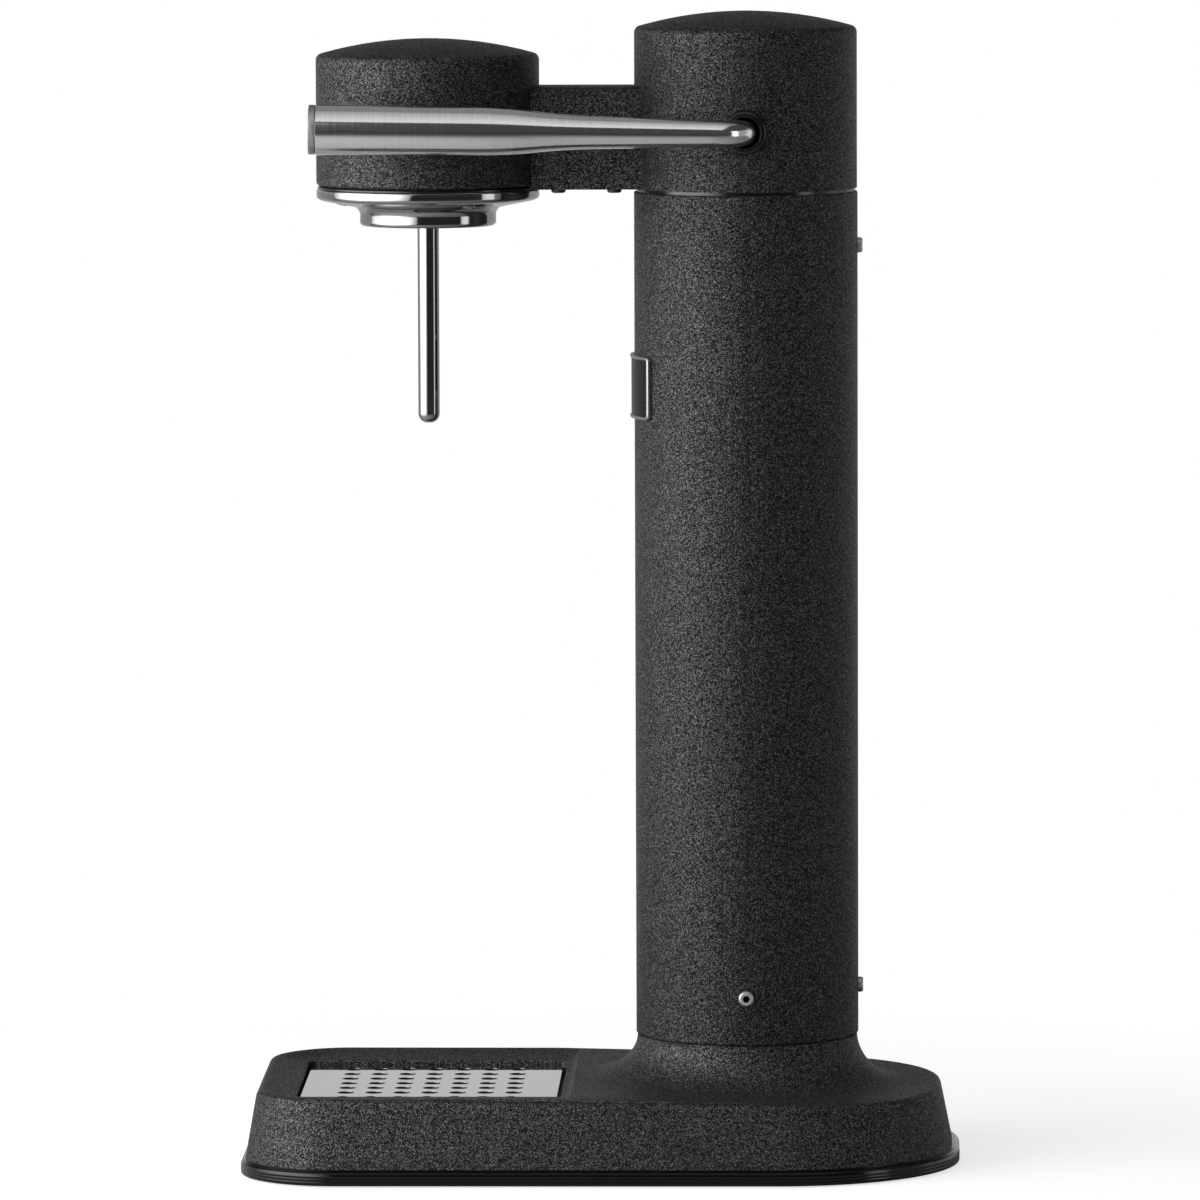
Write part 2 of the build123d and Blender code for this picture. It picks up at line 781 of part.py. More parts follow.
def valve_block():
    thread_r = valve_thread_d / 2 + slip_fit
    block = rod(block_flange_d / 2, web_top, flange_top, y=column_y)
    block += rod(block_d / 2, chamber_bottom - block_floor, web_top, y=column_y)
    block += rod(thread_r + socket_wall, socket_bottom, web_top, y=column_y)
    block -= rod(pocket_r, pocket_bottom, flange_top, y=column_y)
    block -= rod(plunger_stem_d / 2 + running_fit, chamber_bottom, pocket_bottom, y=column_y)
    groove_middle = (chamber_top + pocket_bottom) / 2
    groove_half = o_ring_d / 2 + running_fit
    groove_r = plunger_stem_d / 2 + o_ring_d + 2 * running_fit
    block -= rod(groove_r, groove_middle - groove_half, groove_middle + groove_half, y=column_y)
    block -= rod(chamber_d / 2, chamber_bottom, chamber_top, y=column_y)
    block -= rod(thread_r, socket_bottom, chamber_bottom, y=column_y)
    block -= long_rod(gas_passage_r, column_y - pipe_start, column_y, chamber_z)
    block -= rod(gas_passage_r, chamber_z, flange_top, y=column_y - pipe_start)
    for x, y in circle_points(head_boss_ring, head_screw_angles, column_y):
        block -= rod(screw_shank_d / 2 + running_fit, web_top, flange_top, x, y)
    for x, y in bracket_screw_points:
        block -= rod(small_shank_d / 2 + running_fit, bracket_top - bracket_screw_length, flange_top, x, y)
    return block


def valve_seal():
    return ring(valve_thread_d / 2, chamber_d / 2, seal_bottom, chamber_bottom, column_y)


def plunger():
    head = rod(plunger_head_d / 2, plunger_seat, plunger_top, y=column_y)
    stem = rod(plunger_stem_d / 2, chamber_top, plunger_seat, y=column_y)
    return head + stem + rod(plunger_tip_d / 2, plunger_tip, chamber_top, y=column_y)


def plunger_o_ring():
    ring_r = plunger_stem_d / 2 + running_fit + o_ring_d / 2
    return Pos(0, column_y, (chamber_top + pocket_bottom) / 2) * Torus(ring_r, o_ring_d / 2)


# Two arcs that leave one point of a coil and reach the next with a smooth joint between them
def coil_step(start, start_way, end, end_way):
    chord = end - start
    ways = start_way + end_way
    spare = 4 - ways.dot(ways)
    lean = chord.dot(ways)
    reach = (math.sqrt(lean * lean + spare * chord.dot(chord)) - lean) / spare
    first_corner = start + start_way * reach
    last_corner = end - end_way * reach
    middle = (first_corner + last_corner) / 2
    return [
        TangentArc(start, middle, tangent=start_way),
        TangentArc(middle, end, tangent=last_corner - first_corner),
    ]


def plunger_spring():
    coil_r = spring_d / 2
    inset = spring_wire_d / 2 + spring_gap
    z_low = pocket_bottom + inset
    climb = (plunger_seat - inset - z_low) / (2 * math.pi * spring_turns)
    steps = [quarter * math.pi / 2 for quarter in range(4 * spring_turns + 1)]
    spokes = [Vector(math.cos(turn), math.sin(turn), 0) for turn in steps]
    heights = [Vector(0, column_y, z_low + climb * turn) for turn in steps]
    points = [height + spoke * coil_r for height, spoke in zip(heights, spokes)]
    ways = [(Vector(-spoke.Y, spoke.X, 0) * coil_r + Vector(0, 0, climb)).normalized() for spoke in spokes]
    arcs = []
    for step in range(4 * spring_turns):
        arcs += coil_step(points[step], ways[step], points[step + 1], ways[step + 1])
    section = Plane(points[0], z_dir=ways[0]) * Circle(spring_wire_d / 2)
    return sweep(section, path=Wire(arcs))


def gas_cylinder():
    shoulder_z = cylinder_top - cylinder_shoulder
    inner_r = cylinder_r - cylinder_wall
    foot_z = cylinder_lift + cylinder_foot_rise
    floor_z = foot_z + cylinder_wall
    bore_bottom = cylinder_top - neck_length
    outside = Polyline(
        (0, foot_z),
        (cylinder_foot_r, cylinder_lift),
        (cylinder_r, cylinder_lift),
        (cylinder_r, shoulder_z),
    )
    outer_dome = TangentArc((cylinder_r, shoulder_z), (cylinder_neck_d / 2, cylinder_top), tangent=(0, 1))
    mouth_r = neck_bore_d / 2
    mouth = Polyline((cylinder_neck_d / 2, cylinder_top), (mouth_r, cylinder_top), (mouth_r, bore_bottom))
    inner_dome = TangentArc((inner_r, shoulder_z), (mouth_r, bore_bottom), tangent=(0, 1))
    inside = Polyline((inner_r, shoulder_z), (inner_r, floor_z), (0, floor_z), (0, foot_z))
    body = turned(outside + outer_dome + mouth + inner_dome + inside, column_y)
    foot_edge = body.edges().filter_by(GeomType.CIRCLE).group_by(Axis.Z)[0].sort_by(SortBy.RADIUS)[-1]
    return fillet(foot_edge, cylinder_wall)


def cylinder_valve():
    plug = rod(neck_bore_d / 2 - running_fit, cylinder_top - neck_length, cylinder_top, y=column_y)
    collar = Pos(0, column_y, cylinder_top) * hexagon(valve_collar_d, valve_collar_height)
    stem = rod(valve_thread_d / 2, valve_collar_top, valve_top, y=column_y)
    stem = chamfer(stem.edges().group_by(Axis.Z)[-1], valve_stem_edge)
    pin_room = valve_pin_length - valve_pin_proud + plunger_travel + slip_fit
    pin_hole = rod(valve_pin_d / 2 + valve_pin_fit, valve_top - pin_room, valve_top, y=column_y)
    return plug + collar + stem - pin_hole


def valve_pin():
    return rod(valve_pin_d / 2, pin_top - valve_pin_length, pin_top, y=column_y)


def gas_pipe():
    start = (0, column_y - pipe_start, flange_top)
    corner = (0, column_y - pipe_start, pipe_z)
    end = (0, nozzle_y + nozzle_trunk_d / 2, pipe_z)
    route = FilletPolyline(start, corner, end, radius=pipe_bend_r)
    section = Plane(start, z_dir=(0, 0, 1)) * (Circle(pipe_d / 2) - Circle(pipe_bore_d / 2))
    return sweep(section, path=route)


def pipe_nuts():
    nut = hexagon(pipe_nut_flats, pipe_nut_length) - rod(pipe_d / 2 + running_fit, 0, pipe_nut_length)
    upright = Pos(0, column_y - pipe_start, flange_top) * nut
    level = Pos(0, nozzle_y + nozzle_trunk_d / 2, pipe_z) * Rot(-90, 0, 0) * nut
    return group([upright, level])


def nozzle_body():
    seat = collar_seat + splash_sheet
    body = rod(collar_d / 2 - nozzle_boss_inset, seat, splash_top, y=nozzle_y)
    body += rod(front_bore_r - slip_fit, splash_top, nozzle_flange_top, y=nozzle_y)
    body += rod(nozzle_body_d / 2, splash_top, nozzle_body_top, y=nozzle_y)
    body += rod(nozzle_trunk_d / 2, nozzle_body_top, trunk_top, y=nozzle_y)
    body -= rod(collar_neck_d / 2 + running_fit, seat, collar_neck_top, y=nozzle_y)
    body -= rod(nozzle_d / 2 + running_fit, collar_neck_top, nozzle_top, y=nozzle_y)
    body -= rod(gas_passage_r, nozzle_top, trunk_top, y=nozzle_y)
    body -= long_rod(gas_passage_r, nozzle_y, nozzle_y + nozzle_trunk_d, pipe_z)
    for x, y in circle_points(nozzle_boss_ring, nozzle_screw_angles, nozzle_y):
        body -= rod(screw_shank_d / 2 + running_fit, splash_top, nozzle_flange_top, x, y)
    for x, y in circle_points(splash_screw_ring, splash_screw_angles, nozzle_y):
        body -= rod(small_shank_d / 2 + running_fit, splash_top, nozzle_flange_top, x, y)
    return body


def nozzle_screws():
    screw = Rot(180, 0, 0) * large_screw(nozzle_flange + head_boss_depth - slip_fit)
    points = circle_points(nozzle_boss_ring, nozzle_screw_angles, nozzle_y)
    return group([Pos(x, y, splash_top) * screw for x, y in points])


def splash_ring():
    outer_r = splash_d / 2
    cone_r = collar_d / 2
    hole_r = collar_neck_d / 2 + slip_fit
    outline = Polyline(
        (hole_r, collar_seat),
        (cone_r, collar_seat),
        (outer_r, splash_edge),
        (outer_r, splash_top),
        (outer_r - splash_sheet, splash_top),
        (outer_r - splash_sheet, splash_edge + splash_sheet),
        (cone_r, collar_seat + splash_sheet),
        (hole_r, collar_seat + splash_sheet),
        close=True,
    )
    body = turned(outline, nozzle_y)
    circles = body.edges().filter_by(GeomType.CIRCLE)
    rims = circles.filter_by(lambda edge: edge.radius > outer_r - splash_sheet / 2)
    body = fillet(rims.sort_by(Axis.Z)[0], splash_edge_r)
    for x, y in circle_points(splash_screw_ring, splash_screw_angles, nozzle_y):
        body -= rod(small_shank_d / 2 + slip_fit, collar_seat, splash_top, x, y)
    return body


# The heads lie against the inner side of the sloping cone
def splash_screws():
    slope = splash_cone / (splash_d / 2 - collar_d / 2)
    seat = collar_seat + slope * (splash_screw_ring - small_head_d / 2 - collar_d / 2)
    screw = Rot(180, 0, 0) * small_screw(splash_screw_length)
    points = circle_points(splash_screw_ring, splash_screw_angles, nozzle_y)
    return group([Pos(x, y, seat) * screw for x, y in points])


def bottle_collar():
    collar = rod(collar_d / 2, collar_bottom, collar_seat, y=nozzle_y)
    collar = fillet(collar.edges().group_by(Axis.Z)[0], collar_edge_r)
    collar += rod(collar_neck_d / 2, collar_seat, collar_neck_top, y=nozzle_y)
    collar -= rod(collar_bore_d / 2, collar_bottom, collar_neck_top, y=nozzle_y)
    mouth = Cone(collar_bore_d / 2 + collar_mouth, collar_bore_d / 2, collar_mouth, align=from_bottom)
    return collar - Pos(0, nozzle_y, collar_bottom) * mouth


def bottle_seal():
    outer_r = collar_bore_d / 2 - running_fit
    z_low = collar_neck_top - bottle_seal_thickness
    return ring(outer_r, bottle_seal_bore_d / 2, z_low, collar_neck_top, nozzle_y)


def nozzle_tube():
    tube = rod(nozzle_d / 2, nozzle_tip, nozzle_top, y=nozzle_y)
    tube = fillet(tube.edges().group_by(Axis.Z)[0], nozzle_tip_r)
    jet_z = nozzle_tip + nozzle_jet_rise
    tube -= rod(nozzle_bore_d / 2, jet_z - nozzle_jet_d, nozzle_top, y=nozzle_y)
    tube -= long_rod(nozzle_jet_d / 2, nozzle_y - nozzle_d, nozzle_y + nozzle_d, jet_z)
    return tube - cross_rod(nozzle_jet_d / 2, -nozzle_d, nozzle_d, nozzle_y, jet_z)


def relief_valve():
    body = Pos(0, nozzle_y, trunk_top) * hexagon(relief_flats, relief_hex_height)
    cap_bottom = trunk_top + relief_hex_height
    return body + rod(relief_cap_d / 2, cap_bottom, cap_bottom + relief_cap_height, y=nozzle_y)


# Curved panel on the column's front, out to a radius
def badge_panel(inset, proud):
    plan = RectangleRounded(badge_width - 2 * inset, badge_height - 2 * inset, badge_corner_r)
    middle_z = collar_top + badge_rise + badge_height / 2
    panel = extrude(Pos(0, column_y, middle_z) * (Plane.XZ * plan), 2 * column_r)
    z_low = middle_z - badge_height
    z_high = middle_z + badge_height
    return panel & ring(column_r + proud, column_r + running_fit, z_low, z_high, column_y)


def badge_frame():
    return badge_panel(0, badge_frame_proud) - badge_panel(badge_border, 2 * badge_frame_proud)


def badge_plate():
    return badge_panel(badge_border + running_fit, badge_field_proud)


parts = {
    "base_casting": base_casting,
    "base_rim": base_rim,
    "base_plate": base_plate,
    "base_screws": base_screws,
    "base_feet": base_feet,
    "drip_tray": drip_tray,
    "drip_grate": drip_grate,
    "grate_pads": grate_pads,
    "column_tube": column_tube,
    "column_side_screws": column_side_screws,
    "column_rear_screws": column_rear_screws,
    "badge_frame": badge_frame,
    "badge_plate": badge_plate,
    "seam_ring": seam_ring,
    "head_shell": head_shell,
    "arm_cover": arm_cover,
    "arm_cover_screws": arm_cover_screws,
    "lever_tube": lever_tube,
    "lever_end_cap": lever_end_cap,
    "lever_bush": lever_bush,
    "pivot_shaft": pivot_shaft,
    "shaft_clip": shaft_clip,
    "cam": cam,
    "shaft_bracket": shaft_bracket,
    "shaft_bushes": shaft_bushes,
    "bracket_screws": bracket_screws,
    "valve_carrier": valve_carrier,
    "carrier_screws": carrier_screws,
    "valve_block": valve_block,
    "valve_seal": valve_seal,
    "plunger": plunger,
    "plunger_o_ring": plunger_o_ring,
    "plunger_spring": plunger_spring,
    "gas_cylinder": gas_cylinder,
    "cylinder_valve": cylinder_valve,
    "valve_pin": valve_pin,
    "gas_pipe": gas_pipe,
    "pipe_nuts": pipe_nuts,
    "nozzle_body": nozzle_body,
    "nozzle_screws": nozzle_screws,
    "splash_ring": splash_ring,
    "splash_screws": splash_screws,
    "bottle_collar": bottle_collar,
    "bottle_seal": bottle_seal,
    "nozzle_tube": nozzle_tube,
    "relief_valve": relief_valve,
}

os.makedirs("parts", exist_ok=True)
for node, make in parts.items():
    export_step(make(), f"parts/{node}.step")
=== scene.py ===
import json
import math

import bmesh
import bpy
from mathutils import Matrix, Quaternion, Vector


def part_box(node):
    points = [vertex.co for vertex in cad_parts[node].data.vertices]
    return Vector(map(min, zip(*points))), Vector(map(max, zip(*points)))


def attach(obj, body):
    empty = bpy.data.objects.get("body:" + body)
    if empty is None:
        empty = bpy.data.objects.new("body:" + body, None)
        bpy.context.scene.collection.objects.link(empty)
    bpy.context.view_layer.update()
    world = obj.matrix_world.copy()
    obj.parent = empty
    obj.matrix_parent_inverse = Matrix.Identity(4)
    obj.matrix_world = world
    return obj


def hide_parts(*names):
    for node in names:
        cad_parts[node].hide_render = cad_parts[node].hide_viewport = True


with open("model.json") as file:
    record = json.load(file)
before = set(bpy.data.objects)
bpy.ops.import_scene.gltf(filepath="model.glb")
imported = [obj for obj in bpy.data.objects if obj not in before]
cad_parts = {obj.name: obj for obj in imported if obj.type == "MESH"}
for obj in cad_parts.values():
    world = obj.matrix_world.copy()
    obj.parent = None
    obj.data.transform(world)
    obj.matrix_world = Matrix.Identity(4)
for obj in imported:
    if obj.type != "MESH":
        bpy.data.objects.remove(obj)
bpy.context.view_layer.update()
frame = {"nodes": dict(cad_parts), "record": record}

mm = 0.001
fullTurn = 2 * math.pi
scene = bpy.context.scene
print("frame loaded:", len(frame["nodes"]), "nodes")


# Places read from the frame
def middle(node):
    low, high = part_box(node)
    return (low + high) / 2


columnAxis = middle("column_tube")
nozzleAxis = middle("nozzle_tube")
shaftAxis = middle("pivot_shaft")


# Studio

studio = {
    "target": (0.0, -0.00051, 0.2022), "azimuth": 91.431, "elevation": 5.229, "roll": -0.196,
    "distance": 3.5375, "lens": 294.74, "sensor": 36.0, "clipEnd": 100.0,
    "roomGrey": 0.06, "backdrop": 0.56, "backdropEdge": (-0.15, -0.45), "backdropTop": (0.12, 0.45),
    "floorSize": 16.0, "floorColour": 0.5, "floorGlow": 0.7, "shadowReach": (0.16, 0.42),
    "sweep": 0.45, "sweepReach": (-0.25, -0.7), "softFade": (0.12, 0.55),
}

softboxes = {  # edge and far are shares of the full brightness, at the rim and away from the camera
    "frontSoftbox": {"azimuth": 27.0, "elevation": 14.0, "distance": 0.68, "size": (1.3, 0.95),
                     "power": 19.5, "edge": 0.14},
    "overheadSoftbox": {"azimuth": 90.0, "elevation": 68.0, "distance": 1.2, "size": (1.5, 1.1),
                        "power": 4.4, "far": 0.35},
    "topFill": {"azimuth": 270.0, "elevation": 66.0, "distance": 1.2, "size": (1.5, 0.9), "power": 0.8},
    "rearStrip": {"azimuth": 156.0, "elevation": 2.0, "distance": 1.4, "size": (0.36, 1.2), "power": 2.0},
    "sidePanel": {"azimuth": 178.0, "elevation": 2.0, "distance": 1.4, "size": (1.3, 1.2), "power": 1.4},
}


def addNode(tree, kind, **settings):
    node = tree.nodes.new(kind)
    for key, value in settings.items():
        setattr(node, key, value)
    return node


def setSockets(node, values):
    for socket, value in values.items():
        node.inputs[socket].default_value = value
    return node


def wayBack(azimuth, elevation):  # from the object towards a camera or lamp
    a, e = math.radians(azimuth), math.radians(elevation)
    return Vector((math.sin(a) * math.cos(e), -math.cos(a) * math.cos(e), math.sin(e)))


def placeCamera():
    camera = bpy.data.objects.new("camera", bpy.data.cameras.new("camera"))
    camera.data.lens = studio["lens"]
    camera.data.sensor_width = studio["sensor"]
    camera.data.clip_end = studio["clipEnd"]
    back = wayBack(studio["azimuth"], studio["elevation"])
    roll = Quaternion((0, 0, 1), math.radians(studio["roll"]))
    camera.rotation_mode = "QUATERNION"
    camera.location = Vector(studio["target"]) + back * studio["distance"]
    camera.rotation_quaternion = (-back).to_track_quat("-Z", "Y") @ roll
    scene.collection.objects.link(camera)
    scene.camera = camera


def fadeEdges(light, edge):  # a softbox is brightest in its middle
    light.use_nodes = True
    tree = light.node_tree
    glow = tree.nodes["Emission"]
    place = addNode(tree, "ShaderNodeNewGeometry")
    centre = setSockets(addNode(tree, "ShaderNodeVectorMath", operation="SUBTRACT"), {1: (0.5, 0.5, 0.0)})
    reach = addNode(tree, "ShaderNodeVectorMath", operation="LENGTH")
    fade = addNode(tree, "ShaderNodeMapRange", interpolation_type="SMOOTHSTEP")
    near, far = studio["softFade"]
    setSockets(fade, {"From Min": near, "From Max": far, "To Min": 1.0, "To Max": edge})
    tree.links.new(place.outputs["Parametric"], centre.inputs[0])
    tree.links.new(centre.outputs[0], reach.inputs[0])
    tree.links.new(reach.outputs["Value"], fade.inputs["Value"])
    tree.links.new(fade.outputs["Result"], glow.inputs["Strength"])


def fadeAway(light, far):  # brightest on the camera's side
    light.use_nodes = True
    tree = light.node_tree
    place = addNode(tree, "ShaderNodeNewGeometry")
    split = addNode(tree, "ShaderNodeSeparateXYZ")
    fade = setSockets(addNode(tree, "ShaderNodeMapRange"), {"To Min": 1.0, "To Max": far})
    tree.links.new(place.outputs["Parametric"], split.inputs[0])
    tree.links.new(split.outputs["Y"], fade.inputs["Value"])
    tree.links.new(fade.outputs["Result"], tree.nodes["Emission"].inputs["Strength"])


def hangSoftboxes():
    target = Vector(studio["target"])
    for name, box in softboxes.items():
        light = bpy.data.lights.new(name, "AREA")
        light.shape = "RECTANGLE"
        light.size, light.size_y = box["size"]
        light.energy = box["power"]
        if "edge" in box:
            fadeEdges(light, box["edge"])
        if "far" in box:
            fadeAway(light, box["far"])
        lamp = bpy.data.objects.new(name, light)
        back = wayBack(box["azimuth"], box["elevation"])
        lamp.location = target + back * box["distance"]
        lamp.rotation_mode = "QUATERNION"
        lamp.rotation_quaternion = (-back).to_track_quat("-Z", "Y")
        lamp.visible_camera = False
        scene.collection.objects.link(lamp)


def paintRoom():
    world = bpy.data.worlds.new("room")
    scene.world = world
    world.use_nodes = True
    tree = world.node_tree
    tree.nodes.clear()
    place = addNode(tree, "ShaderNodeTexCoord")
    split = addNode(tree, "ShaderNodeSeparateXYZ")
    near, far = studio["backdropEdge"]
    full, none = studio["backdropTop"]
    behind = addNode(tree, "ShaderNodeMapRange", interpolation_type="SMOOTHSTEP")
    setSockets(behind, {"From Min": near, "From Max": far, "To Max": studio["backdrop"]})
    below = addNode(tree, "ShaderNodeMapRange", interpolation_type="SMOOTHSTEP")
    setSockets(below, {"From Min": full, "From Max": none, "To Min": 1.0, "To Max": 0.0})
    level = addNode(tree, "ShaderNodeMath", operation="MULTIPLY_ADD")
    setSockets(level, {2: studio["roomGrey"]})
    room = addNode(tree, "ShaderNodeBackground")
    white = addNode(tree, "ShaderNodeBackground")
    setSockets(white, {"Color": (1, 1, 1, 1), "Strength": 1.0})
    setSockets(room, {"Color": (1, 1, 1, 1)})
    rays = addNode(tree, "ShaderNodeLightPath")
    mix = addNode(tree, "ShaderNodeMixShader")
    out = addNode(tree, "ShaderNodeOutputWorld")
    tree.links.new(place.outputs["Generated"], split.inputs[0])
    tree.links.new(split.outputs["X"], behind.inputs["Value"])
    tree.links.new(split.outputs["Z"], below.inputs["Value"])
    tree.links.new(behind.outputs["Result"], level.inputs[0])
    tree.links.new(below.outputs["Result"], level.inputs[1])
    tree.links.new(level.outputs[0], room.inputs["Strength"])
    tree.links.new(rays.outputs["Is Camera Ray"], mix.inputs[0])
    tree.links.new(room.outputs[0], mix.inputs[1])
    tree.links.new(white.outputs[0], mix.inputs[2])
    tree.links.new(mix.outputs[0], out.inputs[0])


def layFloor():
    bm = bmesh.new()
    bmesh.ops.create_grid(bm, x_segments=1, y_segments=1, size=studio["floorSize"])
    mesh = bpy.data.meshes.new("floor")
    bm.to_mesh(mesh)
    bm.free()
    floor = bpy.data.objects.new("floor", mesh)
    scene.collection.objects.link(floor)
    material = bpy.data.materials.new("floorPaper")
    material.use_nodes = True
    tree = material.node_tree
    tree.nodes.clear()
    shade = studio["floorColour"]
    paper = setSockets(addNode(tree, "ShaderNodeBsdfDiffuse"), {"Color": (shade, shade, shade, 1)})
    glow = setSockets(addNode(tree, "ShaderNodeEmission"), {"Strength": studio["floorGlow"]})
    white = setSockets(addNode(tree, "ShaderNodeEmission"), {"Strength": 1.0})
    both = addNode(tree, "ShaderNodeAddShader")
    place = addNode(tree, "ShaderNodeTexCoord")
    length = addNode(tree, "ShaderNodeVectorMath", operation="LENGTH")
    near, far = studio["shadowReach"]
    fade = addNode(tree, "ShaderNodeMapRange", interpolation_type="SMOOTHSTEP")
    setSockets(fade, {"From Min": near, "From Max": far})
    seen = addNode(tree, "ShaderNodeMixShader")
    split = addNode(tree, "ShaderNodeSeparateXYZ")
    near, far = studio["sweepReach"]
    rise = addNode(tree, "ShaderNodeMapRange", interpolation_type="SMOOTHSTEP")
    setSockets(rise, {"From Min": near, "From Max": far, "To Max": studio["sweep"]})
    sweep = addNode(tree, "ShaderNodeEmission")  # the paper behind is lit, as steel shows it
    mirrored = addNode(tree, "ShaderNodeAddShader")
    rays = addNode(tree, "ShaderNodeLightPath")
    mix = addNode(tree, "ShaderNodeMixShader")
    out = addNode(tree, "ShaderNodeOutputMaterial")
    tree.links.new(place.outputs["Object"], split.inputs[0])
    tree.links.new(split.outputs["X"], rise.inputs["Value"])
    tree.links.new(rise.outputs["Result"], sweep.inputs["Strength"])
    tree.links.new(paper.outputs[0], mirrored.inputs[0])
    tree.links.new(sweep.outputs[0], mirrored.inputs[1])
    tree.links.new(place.outputs["Object"], length.inputs[0])
    tree.links.new(length.outputs["Value"], fade.inputs["Value"])
    tree.links.new(paper.outputs[0], both.inputs[0])
    tree.links.new(glow.outputs[0], both.inputs[1])
    tree.links.new(fade.outputs["Result"], seen.inputs[0])
    tree.links.new(both.outputs[0], seen.inputs[1])
    tree.links.new(white.outputs[0], seen.inputs[2])
    tree.links.new(rays.outputs["Is Camera Ray"], mix.inputs[0])
    tree.links.new(mirrored.outputs[0], mix.inputs[1])
    tree.links.new(seen.outputs[0], mix.inputs[2])
    tree.links.new(mix.outputs[0], out.inputs[0])
    mesh.materials.append(material)


scene.view_settings.view_transform = "Standard"
placeCamera()
hangSoftboxes()
paintRoom()
layFloor()
print("studio set")


# Finishes

def startFinish(name, values):
    material = bpy.data.materials.new(name)
    material.use_nodes = True
    tree = material.node_tree
    return material, tree, setSockets(tree.nodes["Principled BSDF"], values)


coolTint = 1.01  # blue against red and green


def grey(value):
    return (value, value, value * coolTint, 1)


def grainTexture(tree, scale, stretch=(1, 1, 1), detail=2.0, roughness=0.6):
    place = addNode(tree, "ShaderNodeTexCoord")
    turn = setSockets(addNode(tree, "ShaderNodeMapping"), {"Scale": stretch})
    noise = addNode(tree, "ShaderNodeTexNoise")
    setSockets(noise, {"Scale": scale, "Detail": detail, "Roughness": roughness})
    tree.links.new(place.outputs["Object"], turn.inputs["Vector"])
    tree.links.new(turn.outputs["Vector"], noise.inputs["Vector"])
    return noise.outputs["Fac"]


def rampBetween(tree, source, low, high, lowValue, highValue):
    ramp = setSockets(addNode(tree, "ShaderNodeMapRange"), {
        "From Min": low, "From Max": high, "To Min": lowValue, "To Max": highValue})
    tree.links.new(source, ramp.inputs["Value"])
    return ramp.outputs["Result"]


def shadeBetween(tree, source, low, high, dark, light):
    mix = addNode(tree, "ShaderNodeMix", data_type="RGBA")
    mix.inputs["A"].default_value = dark
    mix.inputs["B"].default_value = light
    tree.links.new(rampBetween(tree, source, low, high, 0.0, 1.0), mix.inputs["Factor"])
    return mix.outputs["Result"]


def raiseSurface(tree, shader, source, strength, depth):
    bump = setSockets(addNode(tree, "ShaderNodeBump"), {"Strength": strength, "Distance": depth})
    tree.links.new(source, bump.inputs["Height"])
    tree.links.new(bump.outputs["Normal"], shader.inputs["Normal"])


noiseReach = (0.3, 0.7)  # noise keeps mostly between these


def unevenSkin(tree, shader, source, roughs, shades):  # shine and colour that follow the noise
    shine = rampBetween(tree, source, *noiseReach, *roughs)
    shade = shadeBetween(tree, source, *noiseReach, *shades)
    tree.links.new(shine, shader.inputs["Roughness"])
    tree.links.new(shade, shader.inputs["Base Color"])


powderCoat = {"grains": 3300.0, "power": 3.5, "pitRough": 0.56, "peakRough": 0.4,
              "metal": 0.6, "shine": 0.3, "strength": 1.0, "depth": 0.0001}


def powderFinish(name, dark, light):  # sandy coat: every grain throws back its own share of the light
    values = {"Metallic": powderCoat["metal"], "Specular IOR Level": powderCoat["shine"]}
    material, tree, shader = startFinish(name, values)
    place = addNode(tree, "ShaderNodeTexCoord")
    grains = setSockets(addNode(tree, "ShaderNodeTexVoronoi"), {"Scale": powderCoat["grains"]})
    split = addNode(tree, "ShaderNodeSeparateColor")
    level = setSockets(addNode(tree, "ShaderNodeMath", operation="POWER"), {1: powderCoat["power"]})
    tree.links.new(place.outputs["Object"], grains.inputs["Vector"])
    tree.links.new(grains.outputs["Color"], split.inputs["Color"])
    tree.links.new(split.outputs["Red"], level.inputs[0])
    shade = shadeBetween(tree, level.outputs[0], 0, 1, grey(dark), grey(light))
    tree.links.new(shade, shader.inputs["Base Color"])
    shine = rampBetween(tree, level.outputs[0], 0, 1, powderCoat["pitRough"], powderCoat["peakRough"])
    tree.links.new(shine, shader.inputs["Roughness"])
    raiseSurface(tree, shader, grains.outputs["Distance"], powderCoat["strength"], powderCoat["depth"])
    return material


steelGrain = {"roughs": (0.75, 1.25), "shades": (0.92, 1.06), "depth": 0.00005}  # shares of the finish's own


def steelFinish(name, colour, rough, stretch, scale=900.0, bump=0.05):
    material, tree, shader = startFinish(name, {"Metallic": 1.0})
    lines = grainTexture(tree, scale, stretch, detail=4.0, roughness=0.7)
    unevenSkin(tree, shader, lines, [rough * share for share in steelGrain["roughs"]],
               [grey(colour * share) for share in steelGrain["shades"]])
    raiseSurface(tree, shader, lines, bump, steelGrain["depth"])
    return material


plasticGrain = {"roughs": (0.85, 1.15), "shades": (0.85, 1.2), "depth": 0.0001}


def plasticFinish(name, colour, rough, grain, bump, shine=0.5):
    material, tree, shader = startFinish(name, {"Specular IOR Level": shine})
    skin = grainTexture(tree, grain, detail=3.0)
    unevenSkin(tree, shader, skin, [rough * share for share in plasticGrain["roughs"]],
               [grey(colour * share) for share in plasticGrain["shades"]])
    raiseSurface(tree, shader, skin, bump, plasticGrain["depth"])
    return material


ribbedBead = {"ribs": 290.0, "strength": 0.4, "depth": 0.0002, "skin": 900.0, "shine": 0.4,
              "roughs": (0.1, 0.16), "shades": (0.002, 0.004)}


